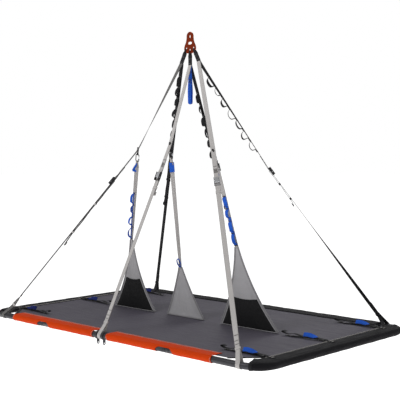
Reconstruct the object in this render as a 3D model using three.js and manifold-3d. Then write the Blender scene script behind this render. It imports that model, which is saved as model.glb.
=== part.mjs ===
// A hanging double portaledge: a tubular bed frame slung from one rigging plate by six webbing straps.
// Millimetres, +Z up. The bed's long side runs along X. The exported group's origin is the plate's top eye.
import * as THREE from "three";
import { mergeVertices } from "three/addons/utils/BufferGeometryUtils.js";
import Module from "manifold-3d";

const wasm = await Module();
wasm.setup();

// ---------------------------------------------------------------- driving dimensions
// Heights are above the plane of the bed frame's tube centre lines until the last lines lower everything.
const GAP = 0.4;
const FRAME = { halfLength: 1020, halfWidth: 603, cornerRadius: 110, cornerSteps: 8, sleeveStep: 2 };
const TUBE = {
  radius: 16, wall: 1.8, sides: 14, spigotRadius: 13.9, spigotLength: 45, spigotInset: 12, weld: 0.5,
};
const SPREADER = { x: -45, tubeRadius: 13, jointOffset: 478 };
const CLAMP = { x: 24, width: 15, radius: 20.5, headInner: 34, headOuter: 46, headHalfHeight: 9 };
const LUG = { width: 16, height: 28, thickness: 5, holeRadius: 4.5 };
const BED = { halfLength: 984, halfWidth: 584, z: 14, thickness: 3, cutX: 160, cutY: 150, scallop: 6 };
const SLEEVE = {
  inner: 16.6, outer: 18.6, sides: 14, flange: 46, flangeThickness: 1.4, endFlange: 32, endOver: 10,
};
const WINDOW = { half: 50, wideHalf: 57, inward: 12, clear: 30 };
const NEAR_SLEEVES = { left: [-804, -100], right: [10, 741] };
const FAR_SLEEVE = { from: -870, to: 870 };
const TEE_GAP = { half: 55, notch: 36 };
const STRAP_FOOT = { bend: 30, sides: 16 };
const SMALL_EYE_SIDES = 10;
const WEBBING = { width: 25, thickness: 2, twistSteps: 5, squareOver: 130, longSquareOver: 700 };
const ANCHOR_X = 903;
const PLATE = {
  x: 15, eyeZ: 1577, thickness: 8, halfTop: 24, halfBottom: 43, topZ: 1603, bottomZ: 1485,
  waistDrop: 40, cornerRise: 26, tipRise: 8, tipHalf: 14,
};
const PLATE_HOLES = {
  eye: [6.5, 9], slot: [17, 8], slotZ: 1541, smallRadius: 6.5, sideX: 27, sideZ: 1513, midZ: 1503,
};
const HEADER = { width: 25, thickness: 7, tape: 12, tapeThickness: 2, bightRadius: 4, shoulder: 14 };
const SLING = {
  width: 28, length: 212, tape: 1.4, sewn: 45, halfBowDrop: 90, bow: 6.5, bowDrop: 150, top: 0.5,
};
const BUCKLE = {
  bottom: -18, top: 29, cheek: 2.5, cheekX: 13.2, back: -3.6, front: 12.5, plate: 2, plateTop: 9,
  barY: 24, barRadius: 3, camRadius: 4.8, camZ: 6.6, axleRadius: 2, axleHole: 2.5, tailY: 13,
  leverLength: 25, leverThickness: 2.4, leverInset: 1.5, lip: 4, lipSet: 6,
};
const CLIP = {
  halfWidth: 14, halfHeight: 23, wire: 4.6, corner: 8, gateLow: -9, gateHigh: 11, loop: 10, eyeFit: 0.74,
};
const FIN = {
  thickness: 4, apexWidth: 20, pocket: 7, pocketOverlap: 0.2, baseZ: 17.8, sideSteps: 6,
  sagPull: 1.8, sagDrop: 0.4, strapFoot: 7,
};
const FIN_STRAP = { width: 20, thickness: 1.6 };
const TENSIONER = { inner: 690, outer: 944, y: 460, width: 20, thickness: 2, z: 20.4, buckleX: 918 };
const LADDER = {
  halfX: 15, halfY: 14, low: -1.8, high: 4.6, slotNear: 3, slotFar: 10, slotHalf: 10.5, slotFloor: 1,
};

const NEAR = -FRAME.halfWidth;
const FAR = FRAME.halfWidth;
const JOINTS = [SPREADER.x - SPREADER.jointOffset, SPREADER.x + SPREADER.jointOffset];

// Where the webbing runs: the lower ends of the three headers, and each strap's path down to the tube.
// A strap leaves its header square and has turned about its own line by turn degrees at its kink or buckle.
const HEADER_SPLIT = 3.5;
const HEADER_ENDS = { left: [-54, 1432], middle: [15, 1418], right: [82, 1436] };
const STRAPS = [
  {
    name: "near_left", header: "left", kink: [-297, -108, 955],
    buckle: 0.19, turn: -48, anchor: [-ANCHOR_X, NEAR],
  },
  {
    name: "near_middle", header: "middle", kink: [-4, -140, 981],
    buckle: 0.178, turn: 0, anchor: [SPREADER.x, NEAR],
  },
  {
    name: "near_right", header: "right", kink: [309, -131, 943],
    buckle: 0.165, turn: 30, anchor: [ANCHOR_X, NEAR],
  },
  { name: "far_left", header: "left", buckle: 0.4, turn: -5, anchor: [-ANCHOR_X, FAR] },
  { name: "far_middle", header: "middle", buckle: 0.4, turn: -14, anchor: [SPREADER.x, FAR] },
  {
    name: "far_right", header: "right", kink: [384, 220, 862],
    buckle: 0.036, turn: -45, anchor: [ANCHOR_X, FAR], squareOver: WEBBING.longSquareOver,
  },
];
const FINS = [
  {
    name: "left", strap: "near_left", tab: 27,
    apex: [-477, 421], base: [-625, -278], sag: 36, pocketTop: 195,
  },
  {
    name: "middle", strap: "near_middle", tab: 34,
    apex: [-67, 295], base: [-170, 114], sag: 14, pocketTop: 0,
  },
  {
    name: "right", strap: "near_right", tab: 22,
    apex: [354, 439], base: [242, 638], sag: 34, pocketTop: 172,
  },
];

// ---------------------------------------------------------------- solids
const v = (x, y, z) => new THREE.Vector3(x, y, z);

function solidOf(geometry) {
  const bare = geometry.clone();
  bare.deleteAttribute("normal");
  bare.deleteAttribute("uv");
  const merged = mergeVertices(bare, 1e-3);
  return new wasm.Manifold(
    new wasm.Mesh({
      numProp: 3,
      vertProperties: new Float32Array(merged.attributes.position.array),
      triVerts: new Uint32Array(merged.index.array),
    }),
  );
}

function geometryOf(solid) {
  const mesh = solid.getMesh();
  const geometry = new THREE.BufferGeometry();
  geometry.setAttribute("position", new THREE.BufferAttribute(new Float32Array(mesh.vertProperties), 3));
  geometry.setIndex(new THREE.BufferAttribute(new Uint32Array(mesh.triVerts), 1));
  geometry.computeVertexNormals();
  return geometry;
}

function join(...geometries) {
  return geometryOf(geometries.map(solidOf).reduce((whole, piece) => whole.add(piece)));
}

function cut(geometry, ...tools) {
  return geometryOf(tools.map(solidOf).reduce((left, tool) => left.subtract(tool), solidOf(geometry)));
}

function box(x0, x1, y0, y1, z0, z1) {
  const made = new THREE.BoxGeometry(x1 - x0, y1 - y0, z1 - z0);
  return made.translate((x0 + x1) / 2, (y0 + y1) / 2, (z0 + z1) / 2);
}

// A regular polygon of corners, counter-clockwise, as an outline or a hole.
function ring(radius, sides, cx = 0, cy = 0) {
  return Array.from({ length: sides }, (_, i) => {
    const a = ((i + 0.5) * 2 * Math.PI) / sides;
    return new THREE.Vector2(cx + radius * Math.cos(a), cy + radius * Math.sin(a));
  });
}

// A plate in XY, centred on z = 0.
function plate(outline, holes, thickness) {
  const shape = new THREE.Shape(outline);
  holes.forEach((hole) => shape.holes.push(new THREE.Path(hole)));
  const made = new THREE.ExtrudeGeometry(shape, { depth: thickness, bevelEnabled: false, steps: 1 });
  return made.translate(0, 0, -thickness / 2);
}

// Turns a geometry made along local X, Y, Z into one whose axes are across, up and their cross product.
function placed(geometry, at, across, up) {
  const y = up.clone().normalize();
  const x = squareTo(across, y);
  const basis = new THREE.Matrix4().makeBasis(x, y, x.clone().cross(y)).setPosition(at);
  return geometry.clone().applyMatrix4(basis);
}

// The part of a direction that is square to another, at unit length.
function squareTo(direction, other) {
  return direction.clone().addScaledVector(other, -direction.dot(other) / other.lengthSq()).normalize();
}

// A round bar or a tube's ring along an axis.
function roundAlong(axis, at, length, outer, inner, sides) {
  const holes = inner > 0 ? [ring(inner, sides)] : [];
  const up = Math.abs(axis.y) > 0.9 ? v(0, 0, 1) : v(0, 1, 0);
  const y = squareTo(up, axis);
  const z = axis.clone().normalize();
  const basis = new THREE.Matrix4().makeBasis(y.clone().cross(z), y, z).setPosition(at);
  return plate(ring(outer, sides), holes, length).applyMatrix4(basis);
}

// A path whose points are given, with one width direction or one for each point, for ExtrudeGeometry.
class GuidedPath extends THREE.Curve {
  constructor(points, across) {
    super();
    this.points = points;
    this.across = across;
  }

  getSpacedPoints() {
    return this.points.map((p) => p.clone());
  }

  computeFrenetFrames() {
    const last = this.points.length - 1;
    const tangents = this.points.map((_, i) => {
      const from = this.points[Math.max(0, i - 1)];
      const to = this.points[Math.min(last, i + 1)];
      return to.clone().sub(from).normalize();
    });
    const acrossAt = (i) => (Array.isArray(this.across) ? this.across[i] : this.across);
    const normals = tangents.map((t, i) => squareTo(acrossAt(i), t));
    const binormals = tangents.map((t, i) => t.clone().cross(normals[i]));
    return { tangents, normals, binormals };
  }
}

function swept(outline, holes, points, across) {
  const shape = new THREE.Shape(outline);
  holes.forEach((hole) => shape.holes.push(new THREE.Path(hole)));
  const extrudePath = new GuidedPath(points, across);
  return new THREE.ExtrudeGeometry(shape, { steps: points.length - 1, extrudePath });
}

// Flat webbing along points: its width lies along the given direction, or along one for each point.
function tape(points, across, width, thickness) {
  const w = width / 2;
  const t = thickness / 2;
  const outline = [[-w, -t], [w, -t], [w, t], [-w, t]].map(([x, y]) => new THREE.Vector2(x, y));
  return swept(outline, [], points, across);
}

// ---------------------------------------------------------------- assembly
const assembly = new THREE.Group();

const FINISH = {
  anodised_red: { color: 0x9a2f14, roughness: 0.38, metalness: 0.85 },
  dark_tube: { color: 0x2c2c2e, roughness: 0.42, metalness: 0.7 },
  steel: { color: 0x8d8f92, roughness: 0.35, metalness: 0.9 },
  black_metal: { color: 0x1c1c1e, roughness: 0.45, metalness: 0.6 },
  bed_fabric: { color: 0x4a4850, roughness: 0.8, metalness: 0 },
  orange_fabric: { color: 0xe0530f, roughness: 0.7, metalness: 0 },
  black_fabric: { color: 0x2b2b2d, roughness: 0.8, metalness: 0 },
  grey_ripstop: { color: 0x8e8e90, roughness: 0.75, metalness: 0 },
  grey_webbing: { color: 0xb8b4b0, roughness: 0.85, metalness: 0 },
  black_webbing: { color: 0x1f1f21, roughness: 0.85, metalness: 0 },
  blue_webbing: { color: 0x2b5fc4, roughness: 0.8, metalness: 0 },
};

function add(name, geometry, finish) {
  const mesh = new THREE.Mesh(geometry, new THREE.MeshStandardMaterial(FINISH[finish]));
  mesh.name = name;
  assembly.add(mesh);
}

// ---------------------------------------------------------------- rigging plate, headers and sling
function riggingPlate() {
  const p = PLATE;
  const eye = p.eyeZ;
  const top = Array.from({ length: 13 }, (_, i) => {
    const a = (Math.PI * i) / 12;
    return new THREE.Vector2(p.halfTop * Math.cos(a), p.topZ - p.halfTop + p.halfTop * Math.sin(a));
  });
  const foot = new THREE.CubicBezierCurve(
    new THREE.Vector2(-p.halfTop, p.topZ - p.halfTop),
    new THREE.Vector2(-p.halfTop, eye - p.waistDrop),
    new THREE.Vector2(-p.halfBottom, eye - p.waistDrop),
    new THREE.Vector2(-p.halfBottom, p.bottomZ + p.cornerRise),
  );
  const left = foot.getPoints(6).slice(1);
  const corner = new THREE.QuadraticBezierCurve(
    new THREE.Vector2(-p.halfBottom, p.bottomZ + p.cornerRise),
    new THREE.Vector2(-p.halfBottom, p.bottomZ + p.tipRise),
    new THREE.Vector2(-p.tipHalf, p.bottomZ),
  );
  const half = [...left, ...corner.getPoints(5).slice(1)];
  const mirrored = half.map((q) => new THREE.Vector2(-q.x, q.y)).reverse();
  const h = PLATE_HOLES;
  const oval = (rx, ry, cy) => ring(1, 16).map((q) => new THREE.Vector2(q.x * rx, cy + q.y * ry));
  const holes = [
    oval(h.eye[0], h.eye[1], eye),
    oval(h.slot[0], h.slot[1], h.slotZ),
    ring(h.smallRadius, 12, -h.sideX, h.sideZ),
    ring(h.smallRadius, 12, 0, h.midZ),
    ring(h.smallRadius, 12, h.sideX, h.sideZ),
  ];
  const flat = plate([...top, ...half, ...mirrored], holes, p.thickness);
  return placed(flat, v(p.x, 0, 0), v(1, 0, 0), v(0, 0, 1));
}

const HEADER_HOLES = {
  left: [-PLATE_HOLES.sideX, PLATE_HOLES.sideZ],
  middle: [0, PLATE_HOLES.midZ],
  right: [PLATE_HOLES.sideX, PLATE_HOLES.sideZ],
};

// A header is a doubled webbing loop: two tapes past the plate's faces, a bight through the hole
// and a flat body below.
function header(side) {
  const [hx, hz] = HEADER_HOLES[side];
  const [ex, ez] = HEADER_ENDS[side];
  const hole = v(PLATE.x + hx, 0, hz);
  const end = v(ex, 0, ez);
  const length = hole.distanceTo(end);
  const face = PLATE.thickness / 2 + GAP;
  const half = HEADER.tape / 2;
  const bodyTop = PLATE.bottomZ - hz - HEADER.shoulder;
  const outer = face + HEADER.tapeThickness;
  const tapes = [-1, 1].map((s) => {
    const z0 = s > 0 ? face : -outer;
    return box(-half, half, bodyTop - 2, HEADER.bightRadius, z0, z0 + HEADER.tapeThickness);
  });
  const bight = roundAlong(v(0, 0, 1), v(0, 0, 0), 2 * outer, HEADER.bightRadius, 0, SMALL_EYE_SIDES);
  const shoulder = box(-half, half, bodyTop - 2, bodyTop, -outer, outer);
  const w = HEADER.width / 2;
  const t = HEADER.thickness / 2;
  const body = box(-w, w, -length, bodyTop, -t, t);
  return placed(join(body, shoulder, ...tapes, bight), hole, v(1, 0, 0), hole.clone().sub(end));
}

// The sling is one tape folded back up: sewn flat at the top, and bowed open towards its rounded end.
function sling() {
  const [x, z] = HEADER_ENDS.middle;
  const t = SLING.tape;
  const endSteps = 6;
  const opening = [[t / 2, SLING.sewn - 2], [SLING.bow / 2, SLING.halfBowDrop], [SLING.bow, SLING.bowDrop]];
  const side = (s) => opening.map(([y, drop]) => v(0, s * y, -drop));
  const endZ = -SLING.length + t / 2 + SLING.bow;
  const end = Array.from({ length: endSteps + 1 }, (_, i) => {
    const a = Math.PI + (Math.PI * i) / endSteps;
    return v(0, SLING.bow * Math.cos(a), endZ + SLING.bow * Math.sin(a));
  });
  const loop = tape([...side(-1), ...end, ...side(1).reverse()], v(1, 0, 0), SLING.width, t);
  const w = SLING.width / 2;
  const sewn = box(-w, w, -t, t, -SLING.sewn, 0);
  return join(loop, sewn).translate(x, 0, z - SLING.top);
}

add("rigging_plate", riggingPlate(), "anodised_red");
["left", "middle", "right"].forEach((side) => add("header_" + side, header(side), "black_webbing"));
add("grab_sling", sling(), "blue_webbing");

// ---------------------------------------------------------------- suspension straps and their cam buckles
function strapLayout(strap) {
  const near = strap.anchor[1] < 0;
  const [hx, hz] = HEADER_ENDS[strap.header];
  const start = v(hx, near ? -HEADER_SPLIT : HEADER_SPLIT, hz - 1);
  const foot = v(strap.anchor[0], strap.anchor[1], 0);
  const kink = strap.kink ? v(...strap.kink) : null;
  const from = kink ?? start;
  const centre = from.clone().lerp(foot, strap.buckle);
  const up = from.clone().sub(foot).normalize();
  const side = v(near ? 1 : -1, 0, 0);
  const across = squareTo(side, up).applyAxisAngle(up, THREE.MathUtils.degToRad(strap.turn));
  return { near, start, foot, kink, centre, up, side, across };
}

// Buckle pieces in the buckle's own axes: X across the webbing, Y up it, Z out of its face.
function buckleFrame() {
  const b = BUCKLE;
  const outer = b.cheekX + b.cheek;
  const cheeks = [-1, 1].map((s) => {
    const x0 = s > 0 ? b.cheekX : -outer;
    return box(x0, x0 + b.cheek, b.bottom, b.top, b.back, b.front);
  });
  const base = box(-outer, outer, b.bottom, b.plateTop, b.back, b.back + b.plate);
  const lipTop = b.front - b.lipSet;
  const lip = box(-outer, outer, b.bottom, b.bottom + b.lip, lipTop - b.plate, lipTop);
  const bar = roundAlong(v(1, 0, 0), v(0, b.barY, 0), 2 * outer, b.barRadius, 0, SMALL_EYE_SIDES);
  const axle = roundAlong(v(1, 0, 0), v(0, 0, b.camZ), 2 * outer + 2, b.axleHole, 0, 12);
  return cut(join(base, ...cheeks, bar, lip), axle);
}

function buckleCam() {
  const b = BUCKLE;
  const half = b.cheekX - GAP;
  const roller = roundAlong(v(1, 0, 0), v(0, 0, b.camZ), 2 * half, b.camRadius, 0, 14);
  const axle = roundAlong(v(1, 0, 0), v(0, 0, b.camZ), 2 * (b.cheekX + b.cheek) + 1, b.axleRadius, 0, 12);
  const top = b.camZ + b.camRadius;
  const leverHalf = half - b.leverInset;
  const lever = box(-leverHalf, leverHalf, 0, b.leverLength, top - b.leverThickness, top);
  return join(roller, axle, lever);
}

// A webbing eye around a bar: a flat ring with the tape's width.
function eye(at, axis, radius, width, thickness, sides = SMALL_EYE_SIDES) {
  return roundAlong(axis, at, width, radius + GAP + thickness, radius + GAP, sides);
}

// The loop that a fin's clip hangs in, on the kink of a near-side strap.
const TAB = { width: 14, thickness: 1.6 };

function finOf(strap) {
  return FINS.find((fin) => fin.strap === strap.name);
}

function finLine(fin) {
  const strap = STRAPS.find((s) => s.name === fin.strap);
  const kink = v(...strap.kink);
  const apex = v(fin.apex[0], 0, fin.apex[1]);
  const up = kink.clone().sub(apex).normalize();
  const eyeAt = kink.clone().addScaledVector(up, -fin.tab);
  const clipAt = eyeAt.clone().addScaledVector(up, -(CLIP.halfHeight - CLIP.wire / 2));
  return { kink, apex, up, eyeAt, clipAt, across: squareTo(v(1, 0, 0), up) };
}

// Even steps from one point to another while the width direction turns from one to the other.
function twisted(from, to, acrossFrom, acrossTo) {
  const { twistSteps } = WEBBING;
  const shares = Array.from({ length: twistSteps + 1 }, (_, i) => i / twistSteps);
  const line = from.clone().sub(to);
  const a = squareTo(acrossFrom, line);
  return {
    points: shares.map((t) => from.clone().lerp(to, t)),
    across: shares.map((t) => a.clone().lerp(acrossTo, t).normalize()),
  };
}

function upperStrap(strap) {
  const s = strapLayout(strap);
  const bar = s.centre.clone().addScaledVector(s.up, BUCKLE.barY);
  const r = BUCKLE.barRadius + GAP + WEBBING.thickness / 2;
  const end = bar.clone().addScaledVector(s.up, r);
  const twist = twisted(s.start, s.kink ?? end, s.side, s.across);
  const fin = finOf(strap);
  if (s.kink) {
    twist.points.push(end);
    twist.across.push(s.across);
  }
  const pieces = [
    tape(twist.points, twist.across, WEBBING.width, WEBBING.thickness),
    eye(bar, s.across, BUCKLE.barRadius, WEBBING.width, WEBBING.thickness),
  ];
  if (fin) {
    const line = finLine(fin);
    const radius = CLIP.wire * CLIP.eyeFit;
    const tip = line.eyeAt.clone().addScaledVector(line.up, radius + TAB.thickness / 2);
    pieces.push(tape([line.kink, tip], line.across, TAB.width, TAB.thickness));
    pieces.push(eye(line.eyeAt, line.across, radius, CLIP.loop, TAB.thickness));
  }
  return join(...pieces);
}

// The webbing comes down to just above the tube, then turns square to it and closes round it.
function lowerStrap(strap) {
  const s = strapLayout(strap);
  const axis = v(1, 0, 0);
  const grip = TUBE.radius + GAP;
  const { width, thickness } = WEBBING;
  const loop = eye(s.foot, axis, grip, width, thickness, STRAP_FOOT.sides);
  const square = squareTo(s.up, axis);
  const top = s.centre.clone().addScaledVector(s.up, BUCKLE.tailY);
  const bend = s.foot.clone().addScaledVector(s.up, STRAP_FOOT.bend);
  const turnFrom = bend.clone().addScaledVector(s.up, strap.squareOver ?? WEBBING.squareOver);
  const twist = twisted(turnFrom, bend, s.across, squareTo(s.side, s.up));
  const stem = [bend.clone().addScaledVector(square, 2), bend, s.foot].map((p) => p.clone().setX(s.foot.x));
  stem[2].addScaledVector(square, grip + GAP + thickness / 2);
  const run = tape([top, ...twist.points], [s.across, ...twist.across], width, thickness);
  return join(run, tape(stem, axis, width, thickness), loop);
}

for (const strap of STRAPS) {
  const s = strapLayout(strap);
  const webbing = s.near ? "grey_webbing" : "black_webbing";
  add("upper_strap_" + strap.name, upperStrap(strap), webbing);
  add("lower_strap_" + strap.name, lowerStrap(strap), webbing);
  add("buckle_" + strap.name, placed(buckleFrame(), s.centre, s.across, s.up), "black_metal");
  add("cam_" + strap.name, placed(buckleCam(), s.centre, s.across, s.up), "steel");
}

// ---------------------------------------------------------------- bed frame
// Points along one quarter of the frame, from a joint on a long side round its corner.
function cornerRoute(sx, sy, fromX, startStep = 0) {
  const f = FRAME;
  const cx = sx * (f.halfLength - f.cornerRadius);
  const cy = sy * (f.halfWidth - f.cornerRadius);
  const points = fromX === null ? [] : [v(fromX, sy * f.halfWidth, 0)];
  for (let i = startStep; i <= f.cornerSteps; i += 1) {
    const a = (Math.PI * i) / (2 * f.cornerSteps);
    points.push(v(cx + sx * f.cornerRadius * Math.sin(a), cy + sy * f.cornerRadius * Math.cos(a), 0));
  }
  return points;
}

function hollow(points, outer, inner, sides) {
  return swept(ring(outer, sides), [ring(inner, sides)], points, v(0, 0, 1));
}

// A corner tube carries a spigot at its long-side end, and the near ones another at mid short side.
function cornerTube(sx, sy) {
  const t = TUBE;
  const inner = t.radius - t.wall;
  const jointX = sx < 0 ? JOINTS[0] : JOINTS[1];
  const gapX = jointX + (sx * GAP) / 2;
  const endY = (sy * GAP) / 2;
  const route = [...cornerRoute(sx, sy, gapX), v(sx * FRAME.halfLength, endY, 0)];
  const pieces = [hollow(route, t.radius, inner, t.sides)];
  const spigot = (a, b) => hollow([a, b], t.spigotRadius, t.spigotRadius - t.wall, t.sides);
  const y = sy * FRAME.halfWidth;
  const inset = t.spigotInset;
  pieces.push(spigot(v(jointX - sx * t.spigotLength, y, 0), v(jointX + sx * inset, y, 0)));
  const collar = (a, b) => hollow([a, b], inner + t.weld, t.spigotRadius - t.wall, t.sides);
  pieces.push(collar(v(gapX, y, 0), v(jointX + sx * inset, y, 0)));
  if (sy < 0) {
    const x = sx * FRAME.halfLength;
    pieces.push(spigot(v(x, t.spigotLength, 0), v(x, -inset, 0)));
    pieces.push(collar(v(x, endY, 0), v(x, -inset, 0)));
  }
  return join(...pieces);
}

function sideTube(sy) {
  const y = sy * FRAME.halfWidth;
  const a = v(JOINTS[0] + GAP / 2, y, 0);
  const b = v(JOINTS[1] - GAP / 2, y, 0);
  return hollow([a, b], TUBE.radius, TUBE.radius - TUBE.wall, TUBE.sides);
}

// The spreader bar: a cross tube with a two-clamp yoke at each end. The middle strap closes round the
// side tube between the clamps, and an eye lug hangs under each clamp.
function spreaderBar() {
  const s = SPREADER;
  const c = CLAMP;
  const half = FRAME.halfWidth - c.headInner - 3;
  const pieces = [hollow([v(s.x, -half, 0), v(s.x, half, 0)], s.tubeRadius, s.tubeRadius - TUBE.wall, 12)];
  const reach = c.x + c.width / 2;
  for (const sy of [-1, 1]) {
    const y = sy * FRAME.halfWidth;
    const span = (a, b) => [y - sy * a, y - sy * b].sort((p, q) => p - q);
    const head = span(c.headInner, c.headOuter);
    pieces.push(box(s.x - reach, s.x + reach, ...head, -c.headHalfHeight, c.headHalfHeight));
    for (const side of [-1, 1]) {
      const x = s.x + side * c.x;
      const clamp = roundAlong(v(1, 0, 0), v(x, y, 0), c.width, c.radius, TUBE.radius + GAP, TUBE.sides);
      const arm = span(c.radius - 2, c.headInner + 2);
      pieces.push(clamp, box(x - c.width / 2, x + c.width / 2, ...arm, -c.headHalfHeight, c.headHalfHeight));
      pieces.push(placed(eyeLug(), v(x, y, 2 - c.radius), v(0, 1, 0), v(0, 0, 1)));
    }
  }
  return join(...pieces);
}

function eyeLug() {
  const w = LUG.width / 2;
  const round = Array.from({ length: 7 }, (_, i) => {
    const a = Math.PI + (Math.PI * i) / 6;
    return new THREE.Vector2(w * Math.cos(a), w - LUG.height + w * Math.sin(a));
  });
  const outline = [new THREE.Vector2(w, 0), new THREE.Vector2(-w, 0), ...round];
  return plate(outline, [ring(LUG.holeRadius, 12, 0, w - LUG.height)], LUG.thickness);
}

for (const sx of [-1, 1]) {
  for (const sy of [-1, 1]) {
    const name = (sy < 0 ? "near" : "far") + (sx < 0 ? "_left" : "_right");
    add("corner_tube_" + name, cornerTube(sx, sy), "dark_tube");
  }
}
add("side_tube_near", sideTube(-1), "dark_tube");
add("side_tube_far", sideTube(1), "dark_tube");
add("spreader_bar", spreaderBar(), "dark_tube");

// ---------------------------------------------------------------- bed panel and edge sleeves
function bedPanel() {
  const b = BED;
  const corner = (sx, sy) => [
    v(sx * (b.halfLength - b.cutX), sy * b.halfWidth, 0),
    v(sx * b.halfLength, sy * (b.halfWidth - b.cutY), 0),
  ];
  // The short edges curve in between their tensioners.
  const edge = (sx, from, to) => {
    const count = 6;
    return Array.from({ length: count - 1 }, (_, i) => {
      const t = (i + 1) / count;
      return v(sx * (b.halfLength - b.scallop * Math.sin(Math.PI * t)), from + (to - from) * t, 0);
    });
  };
  const reach = b.halfWidth - b.cutY;
  const right = [...edge(1, -reach, 0), v(b.halfLength, 0, 0), ...edge(1, 0, reach)];
  const left = [...edge(-1, reach, 0), v(-b.halfLength, 0, 0), ...edge(-1, 0, -reach)];
  const rightEnd = [...corner(1, -1), ...right, ...corner(1, 1).reverse()];
  const leftEnd = [...corner(-1, 1), ...left, ...corner(-1, -1).reverse()];
  const outline = [...rightEnd, ...leftEnd].map((p) => new THREE.Vector2(p.x, p.y));
  return plate(outline, [], b.thickness).translate(0, 0, b.z + b.thickness / 2);
}

// A fabric sleeve round a long side tube, with a flap sewn on to the bed, and windows over the tube joints.
function longSleeve(sy, from, to, windows, notches = []) {
  const y = sy * FRAME.halfWidth;
  const s = SLEEVE;
  const round = hollow([v(from, y, 0), v(to, y, 0)], s.outer, s.inner, s.sides);
  const z = BED.z + BED.thickness + GAP;
  const y0 = y - sy * 1;
  const y1 = y - sy * (s.outer + s.flange);
  const flap = box(from, to, Math.min(y0, y1), Math.max(y0, y1), z, z + s.flangeThickness);
  const opening = ([a, b], inward) => {
    const [low, high] = [y - sy * inward, y + sy * WINDOW.clear].sort((p, q) => p - q);
    return box(a, b, low, high, -WINDOW.clear, WINDOW.clear);
  };
  const openWindows = windows.map((w) => opening(w, WINDOW.inward));
  const openNotches = notches.map((w) => opening(w, TEE_GAP.notch));
  return cut(join(round, flap), ...openWindows, ...openNotches);
}

// A sleeve round a short side and its two corners.
function endSleeve(sx) {
  const s = SLEEVE;
  const near = cornerRoute(sx, -1, null, FRAME.sleeveStep);
  const far = cornerRoute(sx, 1, null, FRAME.sleeveStep).reverse();
  const round = hollow([...near, ...far], s.outer, s.inner, s.sides);
  const z = BED.z + BED.thickness + GAP;
  const x = sx * FRAME.halfLength;
  const x0 = x - sx * 1;
  const x1 = x - sx * (s.outer + s.endFlange);
  const reach = FRAME.halfWidth - FRAME.cornerRadius + s.endOver;
  const flap = box(Math.min(x0, x1), Math.max(x0, x1), -reach, reach, z, z + s.flangeThickness);
  return join(round, flap);
}

const windowAt = (x, half) => [x - half, x + half];
const nearLeft = NEAR_SLEEVES.left;
const nearRight = NEAR_SLEEVES.right;
add("bed_panel", bedPanel(), "bed_fabric");
const nearWindows = [windowAt(JOINTS[0], WINDOW.half), windowAt(JOINTS[1], WINDOW.wideHalf)];
add("near_sleeve_left", longSleeve(-1, ...nearLeft, [nearWindows[0]]), "orange_fabric");
add("near_sleeve_right", longSleeve(-1, ...nearRight, [nearWindows[1]]), "orange_fabric");
const farWindows = JOINTS.map((x) => windowAt(x, WINDOW.half));
const farNotches = [windowAt(SPREADER.x, TEE_GAP.half)];
add("far_sleeve", longSleeve(1, FAR_SLEEVE.from, FAR_SLEEVE.to, farWindows, farNotches), "black_fabric");
add("end_sleeve_left", endSleeve(-1), "black_fabric");
add("end_sleeve_right", endSleeve(1), "black_fabric");

// ---------------------------------------------------------------- fins, their clips and straps
function finPanel(fin) {
  const [ax, az] = fin.apex;
  const w = FIN.apexWidth / 2;
  // A side sags in towards the middle of the fin.
  const side = (x0, z0, x1, z1, sag) => {
    const bendX = (x0 + x1) / 2 + sag * FIN.sagPull;
    const bendZ = (z0 + z1) / 2 - Math.abs(sag) * FIN.sagDrop;
    const curve = new THREE.QuadraticBezierCurve(
      new THREE.Vector2(x0, z0), new THREE.Vector2(bendX, bendZ), new THREE.Vector2(x1, z1),
    );
    return curve.getPoints(FIN.sideSteps);
  };
  const right = side(fin.base[1], FIN.baseZ, ax + w, az, -fin.sag);
  const left = side(ax - w, az, fin.base[0], FIN.baseZ, fin.sag);
  const outline = [...right, ...left];
  const stand = (geometry, y) => placed(geometry, v(0, y, 0), v(1, 0, 0), v(0, 0, 1));
  const panel = stand(plate(outline, [], FIN.thickness), 0);
  if (!fin.pocketTop) {
    return panel;
  }
  const thick = FIN.pocket;
  const whole = stand(plate(outline, [], thick), FIN.pocketOverlap - (FIN.thickness + thick) / 2);
  const above = box(fin.base[0], fin.base[1], -50, 50, fin.pocketTop, az + 10);
  return join(panel, cut(whole, above));
}

function finStrap(fin) {
  const line = finLine(fin);
  const lowEye = line.clipAt.clone().addScaledVector(line.up, -(CLIP.halfHeight - CLIP.wire / 2));
  const radius = CLIP.wire * CLIP.eyeFit;
  const t = FIN_STRAP.thickness;
  const top = lowEye.clone().addScaledVector(line.up, -(radius + t / 2));
  const bottom = line.apex.clone().addScaledVector(line.up, FIN.strapFoot);
  const strap = tape([top, bottom], line.across, FIN_STRAP.width, t);
  return join(strap, eye(lowEye, line.across, radius, CLIP.loop, t));
}

// Clip pieces in the clip's own axes: X across, Y up, Z out of its plane.
function roundedBox(halfWidth, halfHeight, corner) {
  const points = [];
  [[1, 1, 0], [-1, 1, 1], [-1, -1, 2], [1, -1, 3]].forEach(([sx, sy, quarter]) => {
    for (let i = 0; i <= 3; i += 1) {
      const a = (Math.PI / 2) * (quarter + i / 3);
      points.push(new THREE.Vector2(
        sx * (halfWidth - corner) + corner * Math.cos(a),
        sy * (halfHeight - corner) + corner * Math.sin(a),
      ));
    }
  });
  return points;
}

function clipBody() {
  const c = CLIP;
  const outer = roundedBox(c.halfWidth, c.halfHeight, c.corner);
  const inner = roundedBox(c.halfWidth - c.wire, c.halfHeight - c.wire, c.corner - c.wire);
  const loop = plate(outer, [inner], c.wire);
  const mouth = box(c.halfWidth - c.wire - 1, c.halfWidth + 1, c.gateLow, c.gateHigh, -5, 5);
  return cut(loop, mouth);
}

function clipGate() {
  const c = CLIP;
  const x0 = c.halfWidth - c.wire + 0.3;
  const x1 = c.halfWidth - 0.3;
  const low = c.gateLow + GAP;
  const pivot = roundAlong(v(0, 0, 1), v((x0 + x1) / 2, low + 2, 0), c.wire + 1.2, 2, 0, 12);
  return join(box(x0, x1, low + 2, c.gateHigh - GAP, -1.8, 1.8), pivot);
}

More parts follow.
